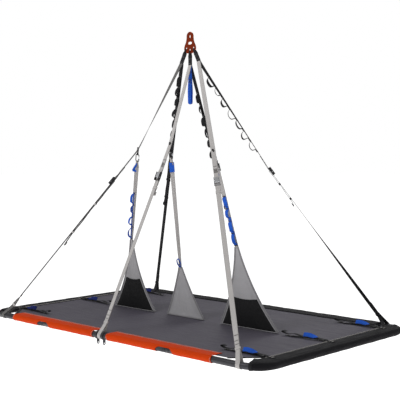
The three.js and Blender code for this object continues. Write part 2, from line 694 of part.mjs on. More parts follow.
for (const fin of FINS) {
  const line = finLine(fin);
  add("fin_" + fin.name, finPanel(fin), "grey_ripstop");
  add("fin_strap_" + fin.name, finStrap(fin), "grey_webbing");
  add("clip_" + fin.name, placed(clipBody(), line.clipAt, line.across, line.up), "black_metal");
  add("clip_gate_" + fin.name, placed(clipGate(), line.clipAt, line.across, line.up), "steel");
}

// ---------------------------------------------------------------- bed tensioners on the short sides
function tensioner(sx, y) {
  const t = TENSIONER;
  const strap = tape([v(sx * t.inner, y, t.z), v(sx * t.outer, y, t.z)], v(0, 1, 0), t.width, t.thickness);
  const l = LADDER;
  const slot = (x0, x1) => box(x0, x1, -l.slotHalf, l.slotHalf, l.slotFloor, l.high + 1);
  const ladder = cut(
    box(-l.halfX, l.halfX, -l.halfY, l.halfY, l.low, l.high),
    slot(-l.slotFar, -l.slotNear),
    slot(l.slotNear, l.slotFar),
  );
  return join(strap, ladder.translate(sx * t.buckleX, y, t.z));
}

for (const [end, sx] of [["left", -1], ["right", 1]]) {
  for (const [place, y] of [["near", -TENSIONER.y], ["middle", 0], ["far", TENSIONER.y]]) {
    add("tensioner_" + end + "_" + place, tensioner(sx, y), "black_webbing");
  }
}

assembly.position.set(-PLATE.x, 0, -PLATE.eyeZ);
const portaledge = new THREE.Group();
portaledge.add(assembly);

export default portaledge;
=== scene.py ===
import math

import bmesh
import bpy
import numpy as np
from mathutils import Matrix, Vector


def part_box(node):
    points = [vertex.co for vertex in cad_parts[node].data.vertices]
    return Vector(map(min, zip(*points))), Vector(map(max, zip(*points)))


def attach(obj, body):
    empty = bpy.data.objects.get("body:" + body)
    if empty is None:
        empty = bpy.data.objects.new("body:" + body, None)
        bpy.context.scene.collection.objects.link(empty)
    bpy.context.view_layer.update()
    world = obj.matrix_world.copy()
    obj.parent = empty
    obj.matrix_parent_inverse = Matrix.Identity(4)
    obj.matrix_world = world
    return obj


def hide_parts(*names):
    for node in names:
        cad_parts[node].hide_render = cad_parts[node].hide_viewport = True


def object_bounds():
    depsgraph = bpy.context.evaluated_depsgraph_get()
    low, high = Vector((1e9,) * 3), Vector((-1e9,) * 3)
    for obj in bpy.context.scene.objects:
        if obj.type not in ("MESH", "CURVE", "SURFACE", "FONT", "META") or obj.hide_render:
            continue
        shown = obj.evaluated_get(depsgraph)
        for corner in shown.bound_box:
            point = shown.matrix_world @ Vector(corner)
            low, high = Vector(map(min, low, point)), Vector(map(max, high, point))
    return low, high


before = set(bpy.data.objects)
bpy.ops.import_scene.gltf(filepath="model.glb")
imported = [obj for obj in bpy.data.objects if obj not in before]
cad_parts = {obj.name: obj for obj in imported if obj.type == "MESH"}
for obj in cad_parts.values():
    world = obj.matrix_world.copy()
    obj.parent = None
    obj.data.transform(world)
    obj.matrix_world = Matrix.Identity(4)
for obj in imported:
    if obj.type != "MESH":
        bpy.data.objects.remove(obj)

CAD_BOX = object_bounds()
DATA = bpy.data
WORLD_UP = Vector((0, 0, 1))
X_AXIS = Vector((1, 0, 0))

# ---------------------------------------------------------------- driving dimensions
# Points are given in millimetres from the bed's middle, at the height of the tube centres.
# at() turns them into the frame, whose origin is the rigging plate's top eye. Sizes in shapes are in metres.
PLATE_X, EYE_Z = 15, 1577
FRAME_X, FRAME_Y, CORNER = 1020, 603, 110
TUBE_RADIUS, TUBE_WALL = 16, 1.8
SPREADER_X = -45
JOINTS = (-523, 433)
HEADER_ENDS = {"left": (-54, 1432), "middle": (15, 1418), "right": (82, 1436)}
HEADER_HOLES = {"left": (-12, 1513), "middle": (15, 1503), "right": (42, 1513)}
# Each strap's kink, its buckle's share of the way to the foot, its turn in degrees, and its free tail's
# length in metres.
CORNER_FOOT_X = FRAME_X - CORNER - 7
STRAPS = {
    "near_left": {"header": "left", "kink": (-297, -108, 955), "buckle": 0.19, "turn": -48, "tail": 0.46},
    "near_middle": {"header": "middle", "kink": (-4, -140, 981), "buckle": 0.178, "turn": 0, "tail": 0.10},
    "near_right": {"header": "right", "kink": (309, -131, 943), "buckle": 0.165, "turn": 30, "tail": 0.10},
    "far_left": {"header": "left", "kink": None, "buckle": 0.4, "turn": -5, "tail": 0.30},
    "far_middle": {"header": "middle", "kink": None, "buckle": 0.4, "turn": -14, "tail": 0.26},
    "far_right": {"header": "right", "kink": (384, 220, 862), "buckle": 0.036, "turn": -45, "tail": 0.22},
}
FOOT_X = {"left": -CORNER_FOOT_X, "middle": SPREADER_X, "right": CORNER_FOOT_X}
# How far each fin's clip hangs below its strap's kink, the fin's apex and base on the bed's centre line,
# how far its sides curve in, and its pocket's height.
FINS = {
    "left": {"tab": 27, "apex": (-477, 421), "base": (-625, -278), "sag": 36, "pocket": 195},
    "middle": {"tab": 34, "apex": (-67, 295), "base": (-170, 114), "sag": 14, "pocket": 0},
    "right": {"tab": 22, "apex": (354, 439), "base": (242, 638), "sag": 34, "pocket": 172},
}
FIN_FOOT, POCKET_FOOT = 17.8, 19.5
WEB_WIDTH, WEB_THICK = 0.025, 0.002
CLOTH_THICK, FIN_THICK = 0.0012, 0.0010
CLAMP_OFFSET = 24
TENSIONER_Y = {"near": -460, "middle": 0, "far": 460}
LADDER_X, LADDER_Z = 918, 20.4
# A sleeve's radius round the tube, its flap's height, and its wrap's start and extent in degrees.
SLEEVE_RADIUS, FLAP_Z, WRAP_START, WRAP_SWEEP, WRAP_STEPS = 17.7, 18.1, 72, 300, 30
# A window in a long sleeve: where it starts over its middle, how much lower at its ends, and where it stops.
WINDOW_TOP, WINDOW_DROP, WINDOW_STOP = 138, 75, 285
# The level direction that the width of the fins' webbing turns to between its clip and the fin.
OPEN_SIDE = Vector((0.72, 0.69, 0)).normalized()


def between(low, high, count):
    """Evenly spaced values from low to high, count steps apart."""
    return [low + (high - low) * k / count for k in range(count + 1)]


def at(x, y, z=0.0):
    return Vector((x - PLATE_X, y, z - EYE_Z)) / 1000


def square_to(direction, other):
    other = other.normalized()
    return (direction - other * direction.dot(other)).normalized()


def smooth_step(t):
    t = min(1.0, max(0.0, t))
    return t * t * (3 - 2 * t)


def bend(centre, one, two, radius, start, stop, count):
    """Points on an arc about a centre: one at 0 degrees and two at 90."""
    turn = [math.radians(a) for a in between(start, stop, count)]
    return [centre + (one * math.cos(a) + two * math.sin(a)) * radius for a in turn]


# ---------------------------------------------------------------- camera, light and floor
def camera():
    data = DATA.cameras.new("camera")
    data.lens = 81
    data.sensor_width = 36
    data.clip_end = 200
    obj = DATA.objects.new("camera", data)
    bpy.context.scene.collection.objects.link(obj)
    yaw, pitch, roll = math.radians(-43.669), math.radians(3.056), math.radians(-0.162)
    flat = Vector((math.sin(yaw), math.cos(yaw), 0))
    forward = flat * math.cos(pitch) - WORLD_UP * math.sin(pitch)
    level = flat.cross(WORLD_UP)
    up = level.cross(forward)
    right = level * math.cos(roll) + up * math.sin(roll)
    up = right.cross(forward)
    turn = Matrix((right, up, -forward)).transposed().to_4x4()
    obj.matrix_world = Matrix.Translation((3.4842, -3.5747, -0.6340)) @ turn
    bpy.context.scene.camera = obj


def area_light(name, place, target, size, power, colour=(1, 1, 1)):
    data = DATA.lights.new(name, "AREA")
    data.shape = "DISK"
    data.size = size
    data.energy = power
    data.color = colour
    obj = DATA.objects.new(name, data)
    bpy.context.scene.collection.objects.link(obj)
    obj.location = place
    obj.rotation_euler = (Vector(target) - Vector(place)).to_track_quat("-Z", "Y").to_euler()


def studio():
    scene = bpy.context.scene
    world = DATA.worlds.new("studio")
    world.use_nodes = True
    background = world.node_tree.nodes["Background"]
    background.inputs["Color"].default_value = (1, 1, 1, 1)
    links, nodes = world.node_tree.links, world.node_tree.nodes
    seen = nodes.new("ShaderNodeLightPath").outputs["Is Camera Ray"]
    strength = nodes.new("ShaderNodeMapRange")
    strength.inputs["To Min"].default_value = 0.42
    strength.inputs["To Max"].default_value = 1.0
    links.new(seen, strength.inputs["Value"])
    links.new(strength.outputs[0], background.inputs["Strength"])
    scene.world = world
    scene.view_settings.view_transform = "Standard"
    scene.view_settings.look = "None"
    middle = (0, 0, -1.2)
    area_light("key", (-1.5, -4.0, 2.6), middle, 2.2, 105)
    area_light("fill", (4.2, 0.8, 1.6), middle, 2.5, 45)
    area_light("back", (-2.0, 4.0, 2.2), middle, 2.0, 45)
    floor_z = CAD_BOX[0][2] - 0.9
    mesh = DATA.meshes.new("floor")
    reach = 60.0
    corners = [(-reach, -reach), (reach, -reach), (reach, reach), (-reach, reach)]
    mesh.from_pydata([(x, y, floor_z) for x, y in corners], [], [(0, 1, 2, 3)])
    floor = DATA.objects.new("floor", mesh)
    scene.collection.objects.link(floor)
    paper = Nodes("floor_paper")
    paper.set("Base Color", (0.94, 0.94, 0.94, 1))
    paper.set("Roughness", 0.9)
    paper.set("Emission Color", (1, 1, 1, 1))
    paper.set("Emission Strength", 0.75)
    grain = paper.noise(paper.object_space(), 3.0, 3)
    paper.bump(grain, 0.02, 0.002)
    floor.data.materials.append(paper.material)


# ---------------------------------------------------------------- materials
class Nodes:
    """A node material built by calls; a socket given as an input is linked, and any other value is set."""

    def __init__(self, name):
        self.material = DATA.materials.new(name)
        self.material.use_nodes = True
        self.tree = self.material.node_tree
        self.shader = self.tree.nodes["Principled BSDF"]

    def add(self, kind, inputs=(), out=0, **settings):
        node = self.tree.nodes.new("ShaderNode" + kind)
        for key, value in settings.items():
            setattr(node, key, value)
        for key, value in dict(inputs).items():
            self.feed(node.inputs[key], value)
        return node.outputs[out]

    def feed(self, socket, value):
        if isinstance(value, bpy.types.NodeSocket):
            self.tree.links.new(value, socket)
        else:
            socket.default_value = value

    def set(self, name, value):
        self.feed(self.shader.inputs[name], value)

    def math(self, operation, a, b=0.0, c=0.0):
        return self.add("Math", {0: a, 1: b, 2: c}, operation=operation)

    def object_space(self):
        return self.add("TexCoord", out="Object")

    def weave_space(self):
        return self.add("Attribute", out="Vector", attribute_name="weave")

    def parts(self, vector):
        node = self.tree.nodes.new("ShaderNodeSeparateXYZ")
        self.feed(node.inputs[0], vector)
        return node.outputs

    def noise(self, vector, scale, detail=2.0, stretch=None, rough=0.5):
        if stretch:
            vector = self.add("Mapping", {"Vector": vector, "Scale": stretch})
        return self.add("TexNoise", {"Vector": vector, "Scale": scale, "Detail": detail, "Roughness": rough})

    def ramp(self, factor, low, high, start=0.0, end=1.0):
        inputs = {"Value": factor, "From Min": low, "From Max": high, "To Min": start, "To Max": end}
        return self.add("MapRange", inputs)

    def mix(self, factor, a, b):
        node = self.tree.nodes.new("ShaderNodeMix")
        node.data_type = "RGBA"
        for index, value in ((0, factor), (6, a), (7, b)):
            self.feed(node.inputs[index], value)
        return node.outputs[2]

    def bump(self, height, strength, distance):
        inputs = {"Height": height, "Strength": strength, "Distance": distance}
        self.set("Normal", self.add("Bump", inputs))

    def wave(self, value, period):
        """0..1 cosine bands of a coordinate in metres."""
        turn = self.math("MULTIPLY", value, 2 * math.pi / period)
        return self.math("MULTIPLY_ADD", self.math("COSINE", turn), 0.5, 0.5)


def rgb(r, g, b, scale=1.0):
    return (r * scale, g * scale, b * scale, 1)


def webbing(name, colour, dark=0.62):
    """Tubular webbing: chevron ribs across the tape, close selvedges, a fine fuzz, and painted shade on its
    edge faces.
    """
    m = Nodes(name)
    rib = 0.0021
    space = m.weave_space()
    along, across, share = m.parts(space)
    slant = m.math("ABSOLUTE", m.math("SINE", m.math("MULTIPLY", across, math.pi / (2 * rib))))
    chevron = m.math("MULTIPLY_ADD", slant, 0.0016, along)
    ribs = m.wave(chevron, rib)
    cords = m.wave(across, rib)
    weave = m.math("MULTIPLY_ADD", cords, 0.45, m.math("MULTIPLY", ribs, 0.55))
    edge = m.ramp(m.math("ABSOLUTE", share), 0.80, 0.95)
    wear = m.noise(space, 38, 4)
    fuzz = m.noise(space, 900, 2)
    tone = m.mix(weave, rgb(*colour, dark), rgb(*colour, 1.08))
    tone = m.mix(m.math("MULTIPLY", edge, 0.45), tone, rgb(*colour, dark * 0.8))
    tone = m.mix(m.ramp(wear, 0.45, 0.75, 0.0, 0.3), tone, rgb(*[c * 0.8 + 0.03 for c in colour]))
    # Painted shade: the tape's edge faces, across its thickness, are darkened towards a fifth of its colour.
    side = m.ramp(m.math("ABSOLUTE", share), 0.97, 0.99)
    tone = m.mix(m.math("MULTIPLY", side, 0.7), tone, rgb(*colour, 0.2))
    m.set("Base Color", tone)
    m.set("Roughness", m.ramp(wear, 0.3, 0.7, 0.72, 0.9))
    m.set("Sheen Weight", 0.04)
    m.set("Sheen Roughness", 0.5)
    m.set("Specular IOR Level", 0.15)
    m.bump(m.math("MULTIPLY_ADD", fuzz, 0.25, weave), 0.55, 0.0004)
    return m.material


def cloth(name, colour, thread, grid=0.0, contrast=0.16, rough=0.72, drift=0.12, gloss=0.22):
    """Plain-woven pack cloth, with heavier ripstop threads where grid gives their spacing."""
    m = Nodes(name)
    space = m.weave_space()
    u, v, _ = m.parts(space)
    weft = m.wave(u, thread)
    warp = m.wave(v, thread)
    weave = m.math("ABSOLUTE", m.math("SUBTRACT", weft, warp))
    streaks = m.noise(space, 9, 5, stretch=(1, 5, 1))
    clouds = m.noise(space, 3.5, 4)
    tone = m.mix(weave, rgb(*colour, 1 - contrast), rgb(*colour, 1 + contrast * 0.6))
    height = weave
    if grid:
        lines = m.math("MAXIMUM", m.wave(u, grid), m.wave(v, grid))
        lines = m.ramp(lines, 0.955, 0.99)
        tone = m.mix(m.math("MULTIPLY", lines, 0.30), tone, rgb(*colour, 1.35))
        height = m.math("MULTIPLY_ADD", lines, 1.2, weave)
    faded = rgb(*[min(1, c * 1.4 + 0.003) for c in colour])
    tone = m.mix(m.ramp(streaks, 0.35, 0.7, 0.0, drift), tone, faded)
    tone = m.mix(m.ramp(clouds, 0.4, 0.7, 0.0, drift), tone, rgb(*colour, 0.6))
    m.set("Base Color", tone)
    m.set("Roughness", m.ramp(streaks, 0.3, 0.7, rough - 0.07, rough + 0.08))
    m.set("Specular IOR Level", gloss)
    creases = m.noise(space, 26, 3, stretch=(1, 3, 1))
    m.bump(m.math("MULTIPLY_ADD", creases, 6.0, height), 0.45, 0.00035)
    return m.material


def metal(name, colour, rough, grain, bright, metallic=1.0, wear=0.25):
    """Brushed or anodised metal: fine scratches one way, blotchy polish, and rubbed high spots."""
    m = Nodes(name)
    space = m.object_space()
    scratches = m.noise(space, 260, 3, stretch=grain)
    blotches = m.noise(space, 14, 5)
    rubbed = m.noise(space, 55, 6, rough=0.7)
    tone = m.mix(scratches, rgb(*colour, 0.82), rgb(*colour, 1.16))
    tone = m.mix(m.ramp(rubbed, 0.62, 0.74, 0.0, wear), tone, rgb(*bright))
    m.set("Base Color", tone)
    m.set("Metallic", metallic)
    polish = m.ramp(blotches, 0.3, 0.7, rough - 0.06, rough + 0.06)
    m.set("Roughness", m.math("MULTIPLY_ADD", scratches, 0.12, polish))
    m.bump(scratches, 0.12, 0.0002)
    return m.material


def thread(name, colour):
    """Bar-tack stitching: tight zigzag threads over the cloth."""
    m = Nodes(name)
    space = m.weave_space()
    along, across, _ = m.parts(space)
    zigzag = m.math("PINGPONG", across, 0.0016)
    lines = m.wave(m.math("MULTIPLY_ADD", zigzag, 0.5, along), 0.0012)
    fuzz = m.noise(space, 700, 3)
    m.set("Base Color", m.mix(lines, rgb(*colour, 0.45), rgb(*colour, 1.25)))
    m.set("Roughness", m.ramp(fuzz, 0.3, 0.7, 0.55, 0.8))
    m.set("Sheen Weight", 0.2)
    m.bump(m.math("MULTIPLY_ADD", fuzz, 0.3, lines), 0.8, 0.0005)
    return m.material


def moulded(name, colour):
    """Moulded acetal: a fine spark texture with polished rubs."""
    m = Nodes(name)
    space = m.object_space()
    spark = m.noise(space, 1400, 2)
    rubs = m.noise(space, 60, 4)
    m.set("Base Color", m.mix(rubs, rgb(*colour, 0.8), rgb(*[c * 1.3 + 0.01 for c in colour])))
    m.set("Roughness", m.ramp(rubs, 0.3, 0.7, 0.3, 0.52))
    m.bump(spark, 0.25, 0.0002)
    return m.material


MATERIALS = {
    "red_aluminium": metal(
        "red_anodised", (0.25, 0.036, 0.012), 0.30, (1, 1, 5), (0.55, 0.20, 0.11), wear=0.16),
    "dark_tube": metal(
        "dark_anodised_tube", (0.050, 0.050, 0.056), 0.36, (0.15, 6, 6), (0.25, 0.25, 0.27), 0.75, 0.14),
    "steel": metal("brushed_steel", (0.56, 0.57, 0.59), 0.26, (0.3, 7, 3), (0.85, 0.86, 0.88), wear=0.3),
    "black_metal": metal(
        "black_coated_metal", (0.020, 0.020, 0.022), 0.4, (2, 2, 2), (0.22, 0.22, 0.23), 0.6, 0.22),
    "bed_fabric": cloth("bed_cloth", (0.078, 0.072, 0.092), 0.0014, 0.0, 0.2, 0.6, drift=0.3),
    "orange_fabric": cloth("orange_pack_cloth", (0.60, 0.046, 0.001), 0.0012, 0.0, 0.14, 0.6, gloss=0.06),
    "black_fabric": cloth("black_pack_cloth", (0.0085, 0.0082, 0.0098), 0.0012, 0.0, 0.25, 0.6, gloss=0.07),
    "grey_ripstop": cloth("grey_ripstop", (0.42, 0.415, 0.43), 0.0008, 0.0065, 0.1, 0.62),
    "grey_webbing": webbing("grey_webbing", (0.53, 0.51, 0.50)),
    "black_webbing": webbing("black_webbing", (0.014, 0.014, 0.016), dark=0.5),
    "blue_webbing": webbing("blue_webbing", (0.022, 0.135, 0.72), dark=0.5),
}
# A darker copy of the grey webbing for the near-left strap: painted shade, standing in for the shade on that
# edge-on strap.
PAINTED_SHADE_WEBBING = webbing("painted_shade_grey_webbing", (0.15, 0.146, 0.143))
# A darker copy of the blue webbing for the left end's pull tabs: painted shade, for the shade on that end.
PAINTED_SHADE_BLUE_WEBBING = webbing("painted_shade_blue_webbing", (0.010, 0.022, 0.16))
STITCH_BLACK = thread("black_bar_tack", (0.02, 0.02, 0.022))
STITCH_DARK_GREY = thread("dark_grey_bar_tack", (0.17, 0.16, 0.155))
STITCH_GREY = thread("grey_bar_tack", (0.50, 0.48, 0.46))
GREY_BINDING = cloth("grey_binding", (0.27, 0.265, 0.275), 0.0013, 0.0, 0.2)
POCKET_CLOTH = cloth("pocket_cloth", (0.008, 0.008, 0.009), 0.0012, 0.0, 0.25, 0.7)
BLACK_PLASTIC = moulded("black_acetal", (0.016, 0.016, 0.017))


# ---------------------------------------------------------------- mesh building
def each(value, count):
    """A list of count values: the list that was given, or one value repeated."""
    return list(value) if isinstance(value, (list, tuple)) else [value] * count


class Piece:
    """Gathers shapes into one mesh. Every vertex carries a weave coordinate in metres, for cloth and tape."""

    def __init__(self):
        self.vertices, self.faces, self.weave = [], [], []

    def append(self, vertices, faces, weave=None):
        first = len(self.vertices)
        self.vertices += [tuple(v) for v in vertices]
        self.faces += [tuple(first + i for i in f) for f in faces]
        self.weave += [tuple(w) for w in (weave if weave is not None else vertices)]

    def lattice(self, rows, weave, around=True, closed=False):
        """Joins rows of points into a skin; each row is one cross-section, and the ends are closed off."""
        n, m = len(rows), len(rows[0])
        faces = []
        for i in range(n if closed else n - 1):
            j = (i + 1) % n
            for k in range(m if around else m - 1):
                q = (k + 1) % m
                faces.append((i * m + k, i * m + q, j * m + q, j * m + k))
        if around and not closed:
            faces.append(tuple(range(m - 1, -1, -1)))
            faces.append(tuple((n - 1) * m + k for k in range(m)))
        self.append([p for row in rows for p in row], faces, [w for row in weave for w in row])

    def tape(self, points, across, width=WEB_WIDTH, thick=WEB_THICK):
        """Webbing with soft edges; across and width may be one value or one for each point."""
        points = [Vector(p) for p in points]
        n = len(points)
        aims = each(across, n)
        widths = each(width, n)
        rows, weave = [], []
        along = 0.0
        for i, p in enumerate(points):
            ahead = (points[min(i + 1, n - 1)] - points[max(i - 1, 0)]).normalized()
            side = square_to(aims[i], ahead)
            face = side.cross(ahead)
            if i:
                along += (p - points[i - 1]).length
            w, t = widths[i] / 2, thick / 2
            soft = 0.7 * t
            profile = [(-w, -t / 2), (-w + soft, -t), (-w / 3, -t), (w / 3, -t), (w - soft, -t), (w, -t / 2)]
            profile += [(-a, -b) for a, b in profile]
            rows.append([p + side * a + face * b for a, b in profile])
            weave.append([(along, a, a / w) for a, b in profile])
        self.lattice(rows, weave)

    def rod(self, points, radius, sides=20):
        """A round bar along points, with eased ends."""
        points = [Vector(p) for p in points]
        ease = 0.25 * radius
        first = (points[1] - points[0]).normalized() * ease
        last = (points[-1] - points[-2]).normalized() * ease
        points = [points[0], points[0] + first, *points[1:-1], points[-1] - last, points[-1]]
        n = len(points)
        radii = [radius * 0.8] + [radius] * (n - 2) + [radius * 0.8]
        rows, weave = [], []
        side, along = None, 0.0
        for i, p in enumerate(points):
            ahead = (points[min(i + 1, n - 1)] - points[max(i - 1, 0)]).normalized()
            if side is None:
                side = square_to(WORLD_UP if abs(ahead.z) < 0.9 else X_AXIS, ahead)
            side = square_to(side, ahead)
            other = ahead.cross(side)
            along += (p - points[i - 1]).length if i else 0
            turn = [2 * math.pi * k / sides for k in range(sides)]
            rows.append([p + (side * math.cos(a) + other * math.sin(a)) * radii[i] for a in turn])
            weave.append([(along, a * radii[i], 0) for a in turn])
        self.lattice(rows, weave)

    def turned(self, centre, axis, profile, sides=40):
        """A ring turned about an axis from a closed profile of (along, radius), in metres."""
        axis = axis.normalized()
        side = square_to(WORLD_UP if abs(axis.z) < 0.9 else X_AXIS, axis)
        other = axis.cross(side)
        rows, weave = [], []
        for k in range(sides):
            a = 2 * math.pi * k / sides
            out = side * math.cos(a) + other * math.sin(a)
            rows.append([Vector(centre) + axis * x + out * r for x, r in profile])
            weave.append([(x, a * r, 0) for x, r in profile])
        self.lattice(rows, weave, closed=True)

    def block(self, centre, axes, size, ease=0.0008, segments=2):
        """A block with rounded edges; axes are its three directions and size its full extents."""
        bm = bmesh.new()
        bmesh.ops.create_cube(bm, size=1)
        bmesh.ops.scale(bm, vec=size, verts=bm.verts)
        bmesh.ops.bevel(bm, geom=bm.edges[:], offset=ease, segments=segments, profile=0.5, affect="EDGES")
        flat = [v.co.copy() for v in bm.verts]
        faces = [[v.index for v in f.verts] for f in bm.faces]
        bm.free()
        turn = Matrix(axes).transposed()
        self.append([Vector(centre) + turn @ p for p in flat], faces, [(p.y, p.x, p.z) for p in flat])

    def plate(self, outline, holes, thick, ease, turn):
        """A flat plate with round-edged outline and holes, moved by a matrix."""
        curve = DATA.curves.new("outline", "CURVE")
        curve.dimensions = "2D"
        curve.fill_mode = "BOTH"
        curve.extrude = thick / 2 - ease
        curve.bevel_depth = ease
        curve.bevel_resolution = 2
        curve.offset = -ease
        for loop in (outline, *holes):
            spline = curve.splines.new("POLY")
            spline.points.add(len(loop) - 1)
            for point, (x, y) in zip(spline.points, loop):
                point.co = (x, y, 0, 1)
            spline.use_cyclic_u = True
        obj = DATA.objects.new("outline", curve)
        bpy.context.scene.collection.objects.link(obj)
        shape = obj.evaluated_get(bpy.context.evaluated_depsgraph_get())
        mesh = DATA.meshes.new_from_object(shape)
        flat = [v.co.copy() for v in mesh.vertices]
        faces = [list(p.vertices) for p in mesh.polygons]
        DATA.objects.remove(obj)
        DATA.curves.remove(curve)
        DATA.meshes.remove(mesh)
        self.append([turn @ p for p in flat], faces, flat)

    def make(self, name, slot, body="ledge", material=None, sharp=50):
        mesh = DATA.meshes.new(name)
        mesh.from_pydata(self.vertices, [], self.faces)
        weave = mesh.attributes.new("weave", "FLOAT_VECTOR", "POINT")
        weave.data.foreach_set("vector", np.array(self.weave, np.float32).ravel())
        bm = bmesh.new()
        bm.from_mesh(mesh)
        bmesh.ops.recalc_face_normals(bm, faces=bm.faces)
        bm.to_mesh(mesh)
        bm.free()
        mesh.shade_smooth()
        mesh.set_sharp_from_angle(angle=math.radians(sharp))
        obj = DATA.objects.new(name, mesh)
        bpy.context.scene.collection.objects.link(obj)
        mesh.materials.append(material or MATERIALS[slot])
        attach(obj, body)
        return obj


def solidify(obj, thick):
    """Gives a one-layer cloth mesh its thickness, and applies it."""
    modifier = obj.modifiers.new("cloth thickness", "SOLIDIFY")
    modifier.thickness = thick
    modifier.offset = 0
    modifier.use_even_offset = True
    shape = obj.evaluated_get(bpy.context.evaluated_depsgraph_get())
    mesh = DATA.meshes.new_from_object(shape)
    obj.modifiers.clear()
    old = obj.data
    name = old.name
    obj.data = mesh
    DATA.meshes.remove(old)
    mesh.name = name


def cloth_piece(name, slot, rows, weave, thick, material=None):
    """A piece of cloth made from rows of points on its middle surface."""
    piece = Piece()
    piece.lattice(rows, weave, around=False)
    obj = piece.make(name, slot, material=material, sharp=180)
    solidify(obj, thick)
    return obj


def rounded(points, radius, step):
    """A path through points with its corners rounded off, as points about step apart."""
    points = [Vector(p) for p in points]
    path = [points[0]]
    for i in range(1, len(points) - 1):
        p = points[i]
        back, on = points[i - 1] - p, points[i + 1] - p
        reach = min(radius, back.length * 0.45, on.length * 0.45)
        a, b = p + back.normalized() * reach, p + on.normalized() * reach
        for k in range(7):
            t = k / 6
            path.append(a * (1 - t) ** 2 + p * 2 * t * (1 - t) + b * t * t)
    path.append(points[-1])
    dense = [path[0]]
    for a, b in zip(path, path[1:]):
        count = max(1, math.ceil((b - a).length / step))
        dense += [a.lerp(b, (k + 1) / count) for k in range(count)]
    return dense


def lengths(points):
    total = [0.0]
    for a, b in zip(points, points[1:]):
        total.append(total[-1] + (b - a).length)
    return total


# ---------------------------------------------------------------- where the webbing runs
class Strap:
    def __init__(self, name):
        s = STRAPS[name]
        self.name = name
        self.tail = s["tail"]
        side, place = name.split("_")
        self.near = side == "near"
        hx, hz = HEADER_ENDS[s["header"]]
        self.start = at(hx, -3.5 if self.near else 3.5, hz - 1)
        self.foot = at(FOOT_X[place], -FRAME_Y if self.near else FRAME_Y)
        self.kink = at(*s["kink"]) if s["kink"] else None
        source = self.kink or self.start
        self.centre = source.lerp(self.foot, s["buckle"])
        self.up = (source - self.foot).normalized()
        self.side = Vector((1 if self.near else -1, 0, 0))
        self.level = square_to(self.side, self.up)
        self.across = Matrix.Rotation(math.radians(s["turn"]), 3, self.up) @ self.level
        self.face = self.across.cross(self.up)
        self.axes = (self.across, self.up, self.face)
        self.turn_over = {"far_right": 0.70, "near_left": 0.07}.get(name, 0.16)
        self.ease = 0.6 if name == "far_right" else 1.0
        self.colour = "grey_webbing" if self.near else "black_webbing"
        # The near-left strap takes the darker copy of the grey webbing, which is painted shade.
        self.material = PAINTED_SHADE_WEBBING if name == "near_left" else None
        self.stitch = STITCH_DARK_GREY if self.near else STITCH_BLACK

    def turned(self, climb):
        """The webbing's width direction at a distance up from where its two legs join."""
        return self.level.lerp(self.across, smooth_step((climb - 0.02) / self.turn_over))


LINES = {name: Strap(name) for name in STRAPS}
BAR_UP, BAR_LOOP = 0.024, 0.0044
TUBE_GAP = 0.4
TUBE_LOOP = (TUBE_RADIUS + TUBE_GAP) / 1000 + WEB_THICK / 2


def upper_strap(s):
    """Header to buckle, round the buckle's bar, and sewn back on to itself."""
    bar = s.centre + s.up * BAR_UP
    down = [s.start + s.up * 0.004]
    straight = (s.kink - bar).length if s.kink else 1.0
    lead = (s.start - s.kink).normalized() if s.kink else s.up
    if s.kink:
        down.append(s.kink)
    down.append(bar + s.up * min(0.030, straight / 2))

    def above(distance):
        return bar + s.up * min(distance, straight) + lead * max(0.0, distance - straight)

    path = rounded(down, 0.030, 0.02)
    run = lengths(path)
    turn_over = (s.kink - s.start).length if s.kink else run[-1]
    top = square_to(s.side, path[0] - path[-1])
    across = [top.lerp(s.across, min(1, d / turn_over) ** s.ease) for d in run]
    wrap = bend(bar, s.face, -s.up, BAR_LOOP, 0, 180, 12)
    back = [above(0.030) - s.face * 0.0026, above(0.085) - s.face * 0.0023]
    path += [*wrap, *back]
    across += [s.across] * (len(wrap) + len(back))
    piece = Piece()
    piece.tape(path, across)
    obj = piece.make("upper_webbing_" + s.name, s.colour, material=s.material)
    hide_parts("upper_strap_" + s.name)
    tacks = Piece()
    for up in (0.040, 0.062, 0.080):
        tacks.block(above(up) - s.face * 0.001, s.axes, (0.021, 0.004, 0.0052), 0.0006)
    if s.near:
        tacks.block(above(0.051) - s.face * 0.001, s.axes, (0.019, 0.016, 0.0050), 0.0006)
    tacks.make("upper_stitching_" + s.name, s.colour, material=s.stitch)


def foot_loop(s):
    """The webbing's way round the side tube: down from the strap, round, and back up beside it."""
    square = square_to(s.up, X_AXIS)
    out = X_AXIS.cross(square)
    slope = s.up.x / s.up.dot(square)
    apex = 0.062
    tangent = math.degrees(math.acos(TUBE_LOOP / apex))
    points = bend(Vector(), square, out, TUBE_LOOP, tangent, 360 - tangent, 28)
    placed = []
    for p in points:
        h = p.dot(square)
        placed.append(s.foot + p + X_AXIS * slope * max(0.0, h) * 0.4)
    return placed, out, s.foot + s.up * (apex / s.up.dot(square))


